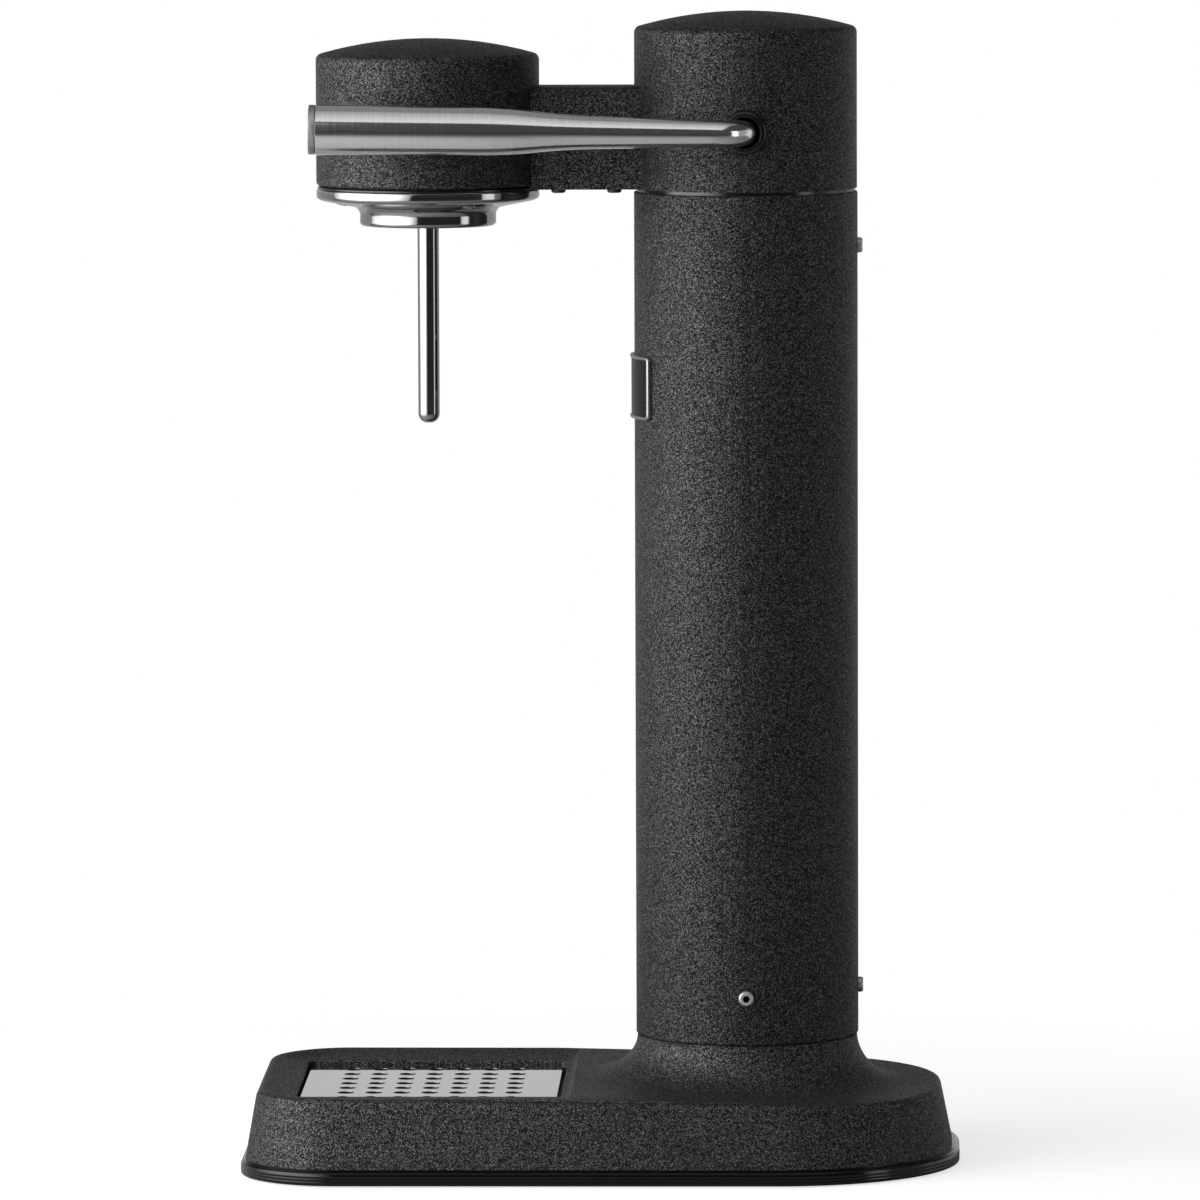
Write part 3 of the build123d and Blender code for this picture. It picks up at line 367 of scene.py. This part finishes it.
def ribbedFinish():  # moulded bead with faint ribs along it
    material, tree, shader = startFinish("ribbedBead", {"Specular IOR Level": ribbedBead["shine"]})
    place = addNode(tree, "ShaderNodeTexCoord")
    ribs = addNode(tree, "ShaderNodeTexWave", wave_type="BANDS", bands_direction="Z", wave_profile="SIN")
    setSockets(ribs, {"Scale": ribbedBead["ribs"], "Distortion": 0.0, "Detail": 0.0})
    tree.links.new(place.outputs["Object"], ribs.inputs["Vector"])
    skin = grainTexture(tree, ribbedBead["skin"], detail=3.0)
    unevenSkin(tree, shader, skin, ribbedBead["roughs"], [grey(shade) for shade in ribbedBead["shades"]])
    raiseSurface(tree, shader, ribs.outputs["Fac"], ribbedBead["strength"], ribbedBead["depth"])
    return material


turnedBrass = {"lines": 700.0, "stretch": (1, 1, 4), "strength": 0.05, "depth": 0.00005,
               "roughs": (0.22, 0.36), "shades": [(0.55, 0.38, 0.16, 1), (0.72, 0.53, 0.26, 1)]}


def brassFinish():
    material, tree, shader = startFinish("turnedBrass", {"Metallic": 1.0})
    lines = grainTexture(tree, turnedBrass["lines"], turnedBrass["stretch"], detail=3.0)
    unevenSkin(tree, shader, lines, turnedBrass["roughs"], turnedBrass["shades"])
    raiseSurface(tree, shader, lines, turnedBrass["strength"], turnedBrass["depth"])
    return material


finishes = {
    "powder_coat": powderFinish("powderCoat", 0.0, 0.17),
    # painted light: the base's copy of the powder coat has lighter grains, so the base reads as more brightly
    # lit
    "lit_base_coat": powderFinish("litBaseCoat", 0.0, 0.21),
    "gloss_black": plasticFinish("glossBlack", 0.008, 0.18, 300.0, 0.02),
    "rim_black": ribbedFinish(),
    "badge_black": plasticFinish("badgeBlack", 0.006, 0.3, 200.0, 0.01, shine=0.1),
    "black_plastic": plasticFinish("mouldedBlack", 0.03, 0.55, 1500.0, 0.25),
    "black_rubber": plasticFinish("blackRubber", 0.035, 0.8, 900.0, 0.3),
    "brushed_steel": steelFinish("brushedSteel", 0.78, 0.13, (0.03, 3.0, 0.03), bump=0.12),
    "grate_steel": steelFinish("grateSteel", 0.57, 0.03, (0.05, 2.0, 1.0), bump=0.004),
    # rough punched edge with painted shade: near black so the hole walls stay dark under the front lamp
    "punched_edge_shade": plasticFinish("punchedEdgeShade", 0.012, 0.7, 1200.0, 0.1, shine=0.2),
    "cap_steel": steelFinish("capSteel", 0.42, 0.4, (1, 1, 1), bump=0.03),
    "plain_steel": steelFinish("machinedSteel", 0.55, 0.3, (1, 1, 1), bump=0.03),
    "screw_steel": steelFinish("screwSteel", 0.6, 0.5, (1, 1, 1), bump=0.05),
    "frame_steel": steelFinish("frameSteel", 0.3, 0.38, (1, 1, 1), bump=0.02),
    "black_steel": plasticFinish("blackOxide", 0.025, 0.4, 1200.0, 0.1),
    "polished_steel": steelFinish("polishedSteel", 0.34, 0.08, (1, 1, 3), scale=150.0, bump=0.0),
    "brass": brassFinish(),
    "aluminium": steelFinish("machinedAluminium", 0.7, 0.32, (1, 1, 4), bump=0.03),
}

for part in frame["record"]["subparts"]:
    mesh = frame["nodes"][part["node"]].data
    mesh.materials.clear()
    mesh.materials.append(finishes[part["material_slot"]])
frame["nodes"]["base_rim"].data.materials[0] = finishes["rim_black"]
print("finishes made:", len(finishes))


# Shapes

touch = 0.01  # mm between places that count as the same
wireWeld, pieceWeld = 0.005, 0.004  # mm


def onlyVerts(geom):
    return [item for item in geom if isinstance(item, bmesh.types.BMVert)]


def onlyEdges(geom):
    return [item for item in geom if isinstance(item, bmesh.types.BMEdge)]


def drawWire(bm, corners, closed=True, steps=8):  # corners as a place in mm and a setback for its round
    before = set(bm.edges)
    verts = [bm.verts.new(Vector(place) * mm) for place, _ in corners]
    ends = verts[1:] + verts[:1] if closed else verts[1:]
    for start, end in zip(verts, ends):
        bm.edges.new((start, end))
    for vert, (_, setback) in zip(verts, corners):
        if setback:
            bmesh.ops.bevel(bm, geom=[vert], affect="VERTICES", offset=setback * mm, segments=steps,
                            profile=0.5, material=-1)
    drawn = {vert for edge in bm.edges if edge not in before for vert in edge.verts}
    bmesh.ops.remove_doubles(bm, verts=list(drawn), dist=wireWeld * mm)
    return [edge for edge in bm.edges if edge not in before]


def planLoop(bm, half, low, high, z, frontRound, rearRound, steps=12):
    return drawWire(bm, [((-half, low, z), frontRound), ((half, low, z), frontRound),
                         ((half, high, z), rearRound), ((-half, high, z), rearRound)], steps=steps)


def joinLoops(bm, loops):
    for lower, upper in zip(loops, loops[1:]):
        bmesh.ops.bridge_loops(bm, edges=lower + upper)


def turnWire(bm, outline, steps=128, closed=True, roundSteps=6):  # outline as radius, height and setback
    wire = drawWire(bm, [((r, 0, z), setback) for r, z, setback in outline], closed, roundSteps)
    verts = list({vert for edge in wire for vert in edge.verts})
    bmesh.ops.spin(bm, geom=wire + verts, cent=(0, 0, 0), axis=(0, 0, 1), angle=fullTurn, steps=steps,
                   use_merge=True)


def edgesWhere(bm, test):
    return [edge for edge in bm.edges if all(test(vert.co / mm) for vert in edge.verts)]


def putPiece(name, bm, slot, body, nodes, place=Matrix(), finish=None, sharp=35.0):
    bmesh.ops.remove_doubles(bm, verts=bm.verts, dist=pieceWeld * mm)
    bmesh.ops.recalc_face_normals(bm, faces=bm.faces)
    bmesh.ops.transform(bm, matrix=place, verts=bm.verts)
    mesh = bpy.data.meshes.new(name)
    bm.to_mesh(mesh)
    bm.free()
    mesh.shade_smooth()
    mesh.set_sharp_from_angle(angle=math.radians(sharp))
    mesh.materials.append(finish or finishes[slot])
    piece = bpy.data.objects.new(name, mesh)
    scene.collection.objects.link(piece)
    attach(piece, body)
    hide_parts(*nodes)
    return piece


def copiesOf(pattern, places):
    mesh = bpy.data.meshes.new("pattern")
    pattern.to_mesh(mesh)
    pattern.free()
    bm = bmesh.new()
    for place in places:
        done = len(bm.verts)
        bm.from_mesh(mesh)
        bm.verts.ensure_lookup_table()
        bmesh.ops.transform(bm, matrix=place, verts=bm.verts[done:])
    bpy.data.meshes.remove(mesh)
    return bm


def upright(axis):
    return Matrix.Translation((axis.x, axis.y, 0))


# Base casting: sloping wall, soft crest, dished border, flared foot and spigot

base = {
    "half": 76.5, "low": -128.75, "high": 128.75, "frontRound": 35.0, "rearRound": 65.0, "inset": 2.6,
    "bottom": 6.1, "top": 30.5, "taper": 10.0, "crest": 2.8, "crestSteps": 8,
    "lip": (66.6, -118.85, -9.95, 25.0, 8.0), "well": (47.2, -108.95, -13.95, 3.0, 3.0),
    "dishDepth": 1.9, "dishHollow": 1.8, "dishSoft": 0.06, "dishSteps": 12, "rimRound": 0.7, "rimSteps": 4,
    "shelf": 22.5, "hatch": 42.7, "nozzle": nozzleAxis.y / mm, "column": columnAxis.y / mm,
    "flare": (39.6, 22.0, 15.3), "footRound": 0.35, "seam": (0.7, 0.4),
    "spigot": (37.8, 71.8), "spigotRound": 0.8, "bore": 33.2, "spigotClear": 1.0,
    "rearFall": 2.7, "fallFrom": 0.0, "fallTo": 100.0,
    "frontShift": 0.9, "shiftFrom": -109.0, "shiftTo": -121.0,
}


def ease(value, start, end):
    t = min(max((value - start) / (end - start), 0), 1)
    return t * t * (3 - 2 * t)


def baseLoop(bm, inset, z):
    return planLoop(bm, base["half"] - inset, base["low"] + inset, base["high"] - inset, z,
                    base["frontRound"] - inset, base["rearRound"] - inset, steps=14)


def castingWall(bm):
    slope = math.radians(base["taper"])
    crest, steps = base["crest"], base["crestSteps"]
    centre = base["top"] - crest
    crestInset = base["inset"] + (centre - base["bottom"]) * math.tan(slope) + crest / math.cos(slope)
    loops = [baseLoop(bm, base["inset"], base["bottom"])]
    for step in range(steps + 1):
        turn = slope + (math.pi / 2 - slope) * step / steps
        loops.append(baseLoop(bm, crestInset - crest * math.cos(turn), centre + crest * math.sin(turn)))
    joinLoops(bm, loops)
    return loops[0], loops[-1]


def castingDish(bm):
    half, low, high, front, rear = base["well"]
    turn = base["rimRound"]
    rim = base["top"] - base["dishDepth"]
    edge = (half + turn, low - turn, high + turn, front + turn, rear + turn)
    soft = base["dishSoft"]
    loops = []
    for step in range(base["dishSteps"] + 1):
        t = step / base["dishSteps"]
        hollow = 1 - (1 - t) ** base["dishHollow"]
        fall = hollow * t / (t + soft) * (1 + soft)  # rounded crest, then a hollow slope
        plan = [a + (b - a) * t for a, b in zip(base["lip"], edge)]
        loops.append(planLoop(bm, *plan[:3], base["top"] - base["dishDepth"] * fall, *plan[3:]))
    for step in range(1, base["rimSteps"] + 1):  # rounded rim of the well
        bend = math.pi / 2 * step / base["rimSteps"]
        out = turn * (1 - math.sin(bend))
        loops.append(planLoop(bm, half + out, low - out, high + out, rim - turn * (1 - math.cos(bend)),
                              front + out, rear + out))
    shelf, hatch, nozzle = base["shelf"], base["hatch"], base["nozzle"]
    loops.append(planLoop(bm, half, low, high, shelf, front, rear))
    for z in (shelf, base["bottom"]):
        loops.append(planLoop(bm, hatch, nozzle - hatch, nozzle + hatch, z, front, rear))
    joinLoops(bm, loops)
    return loops[0], loops[-1]


def castingFoot(bm):
    neck, spread, rise = base["flare"]
    spigot, spigotTop = base["spigot"]
    top, bore, column = base["top"], base["bore"], base["column"]
    groove, gap = base["seam"]
    seat = top + rise - gap  # a dark seam under the column
    fullRound = rise - 0.001  # a hair less than the side it takes up
    footRound, spigotRound = base["footRound"], base["spigotRound"]
    wire = drawWire(bm, [((neck + rise, 0, top), 0), ((neck, 0, top), fullRound),
                         ((neck, 0, seat), footRound), ((neck - groove, 0, seat), 0),
                         ((neck - groove, 0, top + rise), 0),
                         ((spigot, 0, top + rise), 0), ((spigot, 0, spigotTop), spigotRound),
                         ((bore, 0, spigotTop), spigotRound), ((bore, 0, base["bottom"]), 0)],
                    closed=False, steps=16)
    verts = list({vert for edge in wire for vert in edge.verts})
    for vert in verts:
        if vert.co.x > neck * mm:  # the round becomes a quarter of an ellipse
            vert.co.x = (neck + (vert.co.x / mm - neck) * spread / rise) * mm
        vert.co.y += column * mm
    bmesh.ops.spin(bm, geom=wire + verts, cent=(0, column * mm, 0), axis=(0, 0, 1), angle=fullTurn, steps=144,
                   use_merge=True)

    def ringAt(r, z):
        return edgesWhere(bm, lambda co: abs(math.hypot(co.x, co.y - column) - r) < touch
                          and abs(co.z - z) < touch)

    return ringAt(neck + spread, top), ringAt(bore, base["bottom"])


def settleBase(bm):  # the top falls a little to the rear, and the front wall stands further out
    top = base["top"]
    spigot, _ = base["spigot"]
    for vert in bm.verts:
        x, y, z = vert.co / mm
        if math.hypot(x, y - base["column"]) > spigot + base["spigotClear"]:
            lift = ease(z, base["bottom"], top - base["crest"]) * (1 - ease(z, top, top + base["flare"][2]))
            z -= base["rearFall"] * ease(y, base["fallFrom"], base["fallTo"]) * lift
            y -= base["frontShift"] * ease(y, base["shiftFrom"], base["shiftTo"])
            vert.co = Vector((x, y, z)) * mm


def buildBase():
    bm = bmesh.new()
    wallFoot, crest = castingWall(bm)
    lip, hatchFoot = castingDish(bm)
    flareFoot, boreFoot = castingFoot(bm)
    bmesh.ops.triangle_fill(bm, edges=crest + lip + flareFoot, use_beauty=True, normal=(0, 0, 1))
    bmesh.ops.triangle_fill(bm, edges=wallFoot + hatchFoot + boreFoot, use_beauty=True, normal=(0, 0, -1))
    settleBase(bm)
    # the base takes the lighter copy of the powder coat: painted light
    putPiece("castBase", bm, "powder_coat", "machine", ["base_casting"], finish=finishes["lit_base_coat"])


buildBase()
print("base built")


# Drip grate: punched plate with softened hole edges

grate = {"half": 46.0, "corner": 1.8, "holes": 7, "pitch": (11.93, 10.05), "hole": 6.0, "sideSteps": 8,
         "thick": 2.0, "edge": 0.05, "sharpFrom": 1.0, "wallTilt": 0.3}


def buildGrate():
    bm = bmesh.new()
    pitchX, pitchY = grate["pitch"]
    count, steps = grate["holes"], grate["sideSteps"]
    square = ((-1, -1), (1, -1), (1, 1), (-1, 1))
    cell = drawWire(bm, [((x * pitchX / 2, y * pitchY / 2, 0), 0) for x, y in square])
    cell = onlyEdges(bmesh.ops.subdivide_edges(bm, edges=cell, cuts=steps - 1)["geom"])
    hole = bmesh.ops.create_circle(bm, segments=4 * steps, radius=grate["hole"] / 2 * mm)["verts"]
    rim = list({edge for vert in hole for edge in vert.link_edges})
    bmesh.ops.bridge_loops(bm, edges=list(set(cell)) + rim)
    first = bm.verts[:] + bm.edges[:] + bm.faces[:]
    for i in range(count):
        for j in range(count):
            shift = Vector(((i - (count - 1) / 2) * pitchX, (j - (count - 1) / 2) * pitchY, 0)) * mm
            copied = bmesh.ops.duplicate(bm, geom=first)["geom"]
            bmesh.ops.translate(bm, vec=shift, verts=onlyVerts(copied))
    bmesh.ops.delete(bm, geom=onlyVerts(first), context="VERTS")
    bmesh.ops.remove_doubles(bm, verts=bm.verts, dist=touch * mm)
    edgeX, edgeY = count * pitchX / 2, count * pitchY / 2
    field = edgesWhere(bm, lambda co: abs(abs(co.x) - edgeX) < touch)
    field += edgesWhere(bm, lambda co: abs(abs(co.y) - edgeY) < touch)
    half = grate["half"]
    border = planLoop(bm, half, -half, half, 0, grate["corner"], grate["corner"], steps=5)
    bmesh.ops.triangle_fill(bm, edges=field + border, use_beauty=True, normal=(0, 0, 1))
    raised = bmesh.ops.extrude_face_region(bm, geom=bm.faces[:])["geom"]
    bmesh.ops.translate(bm, vec=(0, 0, grate["thick"] * mm), verts=onlyVerts(raised))
    bmesh.ops.recalc_face_normals(bm, faces=bm.faces)
    sharp = [edge for edge in bm.edges if edge.is_manifold and edge.calc_face_angle() > grate["sharpFrom"]]
    bmesh.ops.bevel(bm, geom=sharp, affect="EDGES", offset=grate["edge"] * mm, segments=2, profile=0.5,
                    material=-1)
    low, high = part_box("drip_grate")
    place = Matrix.Translation(((low.x + high.x) / 2, (low.y + high.y) / 2, low.z))
    for face in bm.faces:
        face.material_index = int(abs(face.normal.z) < grate["wallTilt"])  # walls of the holes, which take the near black finish: painted shade
    plate = putPiece("punchedGrate", bm, "brushed_steel", "grate", ["drip_grate"], place,
                     finishes["grate_steel"], sharp=20.0)
    plate.data.materials.append(finishes["punched_edge_shade"])


buildGrate()
print("grate built")


# Lever: turned grip and taper, then the bend into its bush

lever = {
    "outline": [(0, 145.3, 0), (6.05, 145.3, 0), (6.05, 151.3, 0.1), (9.05, 151.3, 0.04),
                (8.8, 86.0, 9.0), (6.2, 64.7, 9.0), (4.8, 13.0, 0)],
    "bend": 13.0, "stub": 33.9, "x": 52.0, "tip": 0.76,
}
leverCap = {"outline": [(0, 145.3, 0), (6.0, 145.3, 0.3), (6.0, 151.65, 0),
                        (8.8, 151.65, 0.06), (8.8, 153.9, 0.12), (0, 153.9, 0)]}
leverBush = {"outline": [(4.85, 33.9, 0), (4.85, 38.5, 2.0), (5.5, 42.4, 0.4), (6.6, 42.8, 0.8),
                         (8.0, 41.9, 1.2), (8.0, 37.5, 0), (6.4, 37.5, 0), (6.4, 33.9, 0)]}


def forwardPlace():  # the lever's own axis, from the shaft line to the front
    turn = math.pi / 2 - math.radians(lever["tip"])
    return Matrix.Translation((lever["x"] * mm, shaftAxis.y, shaftAxis.z)) @ Matrix.Rotation(turn, 4, "X")


def sidewaysPlace():
    return Matrix.Translation((0, shaftAxis.y, shaftAxis.z)) @ Matrix.Rotation(math.pi / 2, 4, "Y")


def buildLever():
    bm = bmesh.new()
    turnWire(bm, lever["outline"], steps=96, closed=False, roundSteps=12)
    bend = lever["bend"] * mm
    ring = edgesWhere(bm, lambda co: abs(co.z - lever["bend"]) < touch)
    verts = list({vert for edge in ring for vert in edge.verts})
    turned = bmesh.ops.spin(bm, geom=ring + verts, cent=(-bend, 0, bend), axis=(0, 1, 0),
                            angle=math.pi / 2, steps=20)
    stub = bmesh.ops.extrude_edge_only(bm, edges=onlyEdges(turned["geom_last"]))["geom"]
    length = lever["x"] - lever["bend"] - lever["stub"]
    bmesh.ops.translate(bm, vec=(-length * mm, 0, 0), verts=onlyVerts(stub))
    bmesh.ops.edgeloop_fill(bm, edges=[edge for edge in onlyEdges(stub) if edge.is_boundary])
    putPiece("bentLever", bm, "brushed_steel", "lever", ["lever_tube"], forwardPlace())
    bm = bmesh.new()
    turnWire(bm, leverCap["outline"], steps=96, closed=False)
    putPiece("leverCap", bm, "brushed_steel", "lever", ["lever_end_cap"], forwardPlace(),
             finishes["cap_steel"])
    bm = bmesh.new()
    turnWire(bm, leverBush["outline"], steps=96)
    putPiece("pivotBush", bm, "gloss_black", "machine", ["lever_bush"], sidewaysPlace())


buildLever()
print("lever built")


# Splash ring and bottle collar, turned about the nozzle

splashRing = {"paintedShadeFrom": 350.75, "outline": [
    (20.3, 343.9, 0), (25.2, 343.95, 1.2), (38.9, 346.7, 0.9), (40.0, 347.6, 0.7), (40.0, 350.6, 0.6),
    (39.5, 350.75, 0), (39.6, 350.9, 0.1), (39.6, 351.5, 0.2), (36.0, 351.5, 0), (36.0, 350.4, 0),
    (38.6, 350.4, 0), (38.6, 348.3, 0.6), (25.0, 345.3, 0), (20.3, 345.3, 0)]}
collar = {"outline": [
    (16.5, 358.0, 0), (16.5, 339.0, 0.4), (18.4, 337.4, 0.6), (24.5, 337.4, 1.5), (24.35, 342.6, 1.4),
    (26.6, 344.5, 1.4), (26.6, 344.8, 0.1), (20.0, 344.8, 0), (20.0, 358.0, 0)]}
splashScrew = {"ring": 31.0, "angles": (30, 150, 270), "lean": 12.3, "seat": 345.15, "outline": [
    (0, -0.15, 0), (1.1, -0.15, 0.1), (1.35, -0.5, 0.15), (2.1, -0.45, 0.3), (2.6, 0.1, 0.2),
    (2.6, 1.2, 0), (0, 1.2, 0)]}
nozzle = {"outline": [(0, 266.4, 0), (3.85, 266.4, 3.3), (3.85, 352.0, 0), (0, 352.0, 0)]}


def buildNozzleHead():
    bm = bmesh.new()
    turnWire(bm, splashRing["outline"], steps=160)
    # painted shade: faces of the upper neck take gloss black, standing in for the shade in the gap under the
    # head
    for face in bm.faces:
        face.material_index = int(face.calc_center_median().z > splashRing["paintedShadeFrom"] * mm)
    ring = putPiece("splashRing", bm, "polished_steel", "machine", ["splash_ring"], upright(nozzleAxis))
    ring.data.materials.append(finishes["gloss_black"])  # gloss black above that height: painted shade of the gap under the head
    bm = bmesh.new()
    turnWire(bm, collar["outline"], steps=160, roundSteps=8)
    putPiece("bottleCollar", bm, "polished_steel", "machine", ["bottle_collar"], upright(nozzleAxis))
    head = bmesh.new()
    turnWire(head, splashScrew["outline"], steps=48, closed=False)
    seat = Matrix.Translation((splashScrew["ring"] * mm, 0, splashScrew["seat"] * mm))
    lean = Matrix.Rotation(math.radians(-splashScrew["lean"]), 4, "Y")
    turns = [Matrix.Rotation(math.radians(angle), 4, "Z") for angle in splashScrew["angles"]]
    bm = copiesOf(head, [turn @ seat @ lean for turn in turns])
    putPiece("splashScrewHeads", bm, "polished_steel", "machine", ["splash_screws"], upright(nozzleAxis))
    bm = bmesh.new()
    turnWire(bm, nozzle["outline"], steps=96, closed=False, roundSteps=12)
    putPiece("nozzleTube", bm, "polished_steel", "machine", ["nozzle_tube"], upright(nozzleAxis))


buildNozzleHead()
print("nozzle head built")


# Column screws: domed heads with a hex socket

columnScrew = {"corner": 1.35, "socketDepth": 0.5, "flatSteps": 8, "outline": [
    (1.62, 1.75, 0), (2.3, 1.75, 0.3), (2.75, 1.2, 0.4), (2.75, 0, 0), (2.0, 0, 0), (2.0, -5.0, 0)]}


def socketHead():
    bm = bmesh.new()
    steps = columnScrew["flatSteps"]
    turnWire(bm, columnScrew["outline"], steps=6 * steps, closed=False)
    inner, top, _ = columnScrew["outline"][0]
    rim = edgesWhere(bm, lambda co: abs(co.z - top) < touch and math.hypot(co.x, co.y) < inner + touch)
    corners = bmesh.ops.create_circle(bm, segments=6, radius=columnScrew["corner"] * mm)["verts"]
    bmesh.ops.translate(bm, vec=(0, 0, top * mm), verts=corners)
    flats = list({edge for vert in corners for edge in vert.link_edges})
    cut = bmesh.ops.subdivide_edges(bm, edges=flats, cuts=steps - 1)["geom"]
    socket = list(set(onlyEdges(cut)))
    bmesh.ops.bridge_loops(bm, edges=rim + socket)
    walls = bmesh.ops.extrude_edge_only(bm, edges=socket)["geom"]
    bmesh.ops.translate(bm, vec=(0, 0, -columnScrew["socketDepth"] * mm), verts=onlyVerts(walls))
    bmesh.ops.edgeloop_fill(bm, edges=[edge for edge in onlyEdges(walls) if edge.is_boundary])
    return bm


def outward(angle, z):  # on the column's wall, pointing out of it
    low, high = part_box("column_tube")
    spin = Matrix.Rotation(math.radians(angle), 4, "Z")
    wall = Matrix.Translation(((high.x - low.x) / 2, 0, 0)) @ Matrix.Rotation(math.pi / 2, 4, "Y")
    return Matrix.Translation((columnAxis.x, columnAxis.y, z)) @ spin @ wall


def buildColumnScrews():
    low = middle("column_side_screws").z
    rearLow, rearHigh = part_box("column_rear_screws")
    high = rearLow.z + rearHigh.z - low
    screws = {"sideScrewHeads": ("column_side_screws", [(0, low), (180, low)]),
              "rearScrewHeads": ("column_rear_screws", [(90, low), (90, high)])}
    for name, (node, places) in screws.items():
        heads = copiesOf(socketHead(), [outward(angle, z) for angle, z in places])
        putPiece(name, heads, "plain_steel", "machine", [node], finish=finishes["screw_steel"])


buildColumnScrews()
print("column screws built")


# Badge frame: rounded bead that follows the column

badge = {"width": 44.0, "height": 23.0, "corner": 2.0, "leastCorner": 0.4, "radius": 40.1, "steps": 12,
         "bead": [(0, 0.05), (0, 0.9), (0.12, 1.3), (0.42, 1.58), (0.75, 1.65),
                  (1.08, 1.58), (1.38, 1.3), (1.5, 1.0), (1.5, 0.05)]}


def badgeLoop(bm, inset, proud):
    half, tall = badge["width"] / 2 - inset, badge["height"] / 2 - inset
    corner = max(badge["corner"] - inset, badge["leastCorner"])
    loop = planLoop(bm, half, -tall, tall, proud, corner, corner, steps=6)
    runs = [edge for edge in loop if abs(edge.verts[0].co.x - edge.verts[1].co.x) > half * mm]
    cut = bmesh.ops.subdivide_edges(bm, edges=runs, cuts=badge["steps"])["geom"]
    return list(set(loop) | set(onlyEdges(cut)))


def buildBadge():
    bm = bmesh.new()
    joinLoops(bm, [badgeLoop(bm, inset, proud) for inset, proud in badge["bead"]])
    radius = badge["radius"]
    for vert in bm.verts:  # wrapped round the column's front
        x, y, proud = vert.co / mm
        side = x / radius
        reach = radius + proud
        vert.co = Vector((reach * side, -reach * math.sqrt(1 - side * side), y)) * mm
    place = Matrix.Translation((columnAxis.x, columnAxis.y, middle("badge_frame").z))
    putPiece("badgeBead", bm, "polished_steel", "machine", ["badge_frame"], place, finishes["frame_steel"])


buildBadge()
print("badge built")
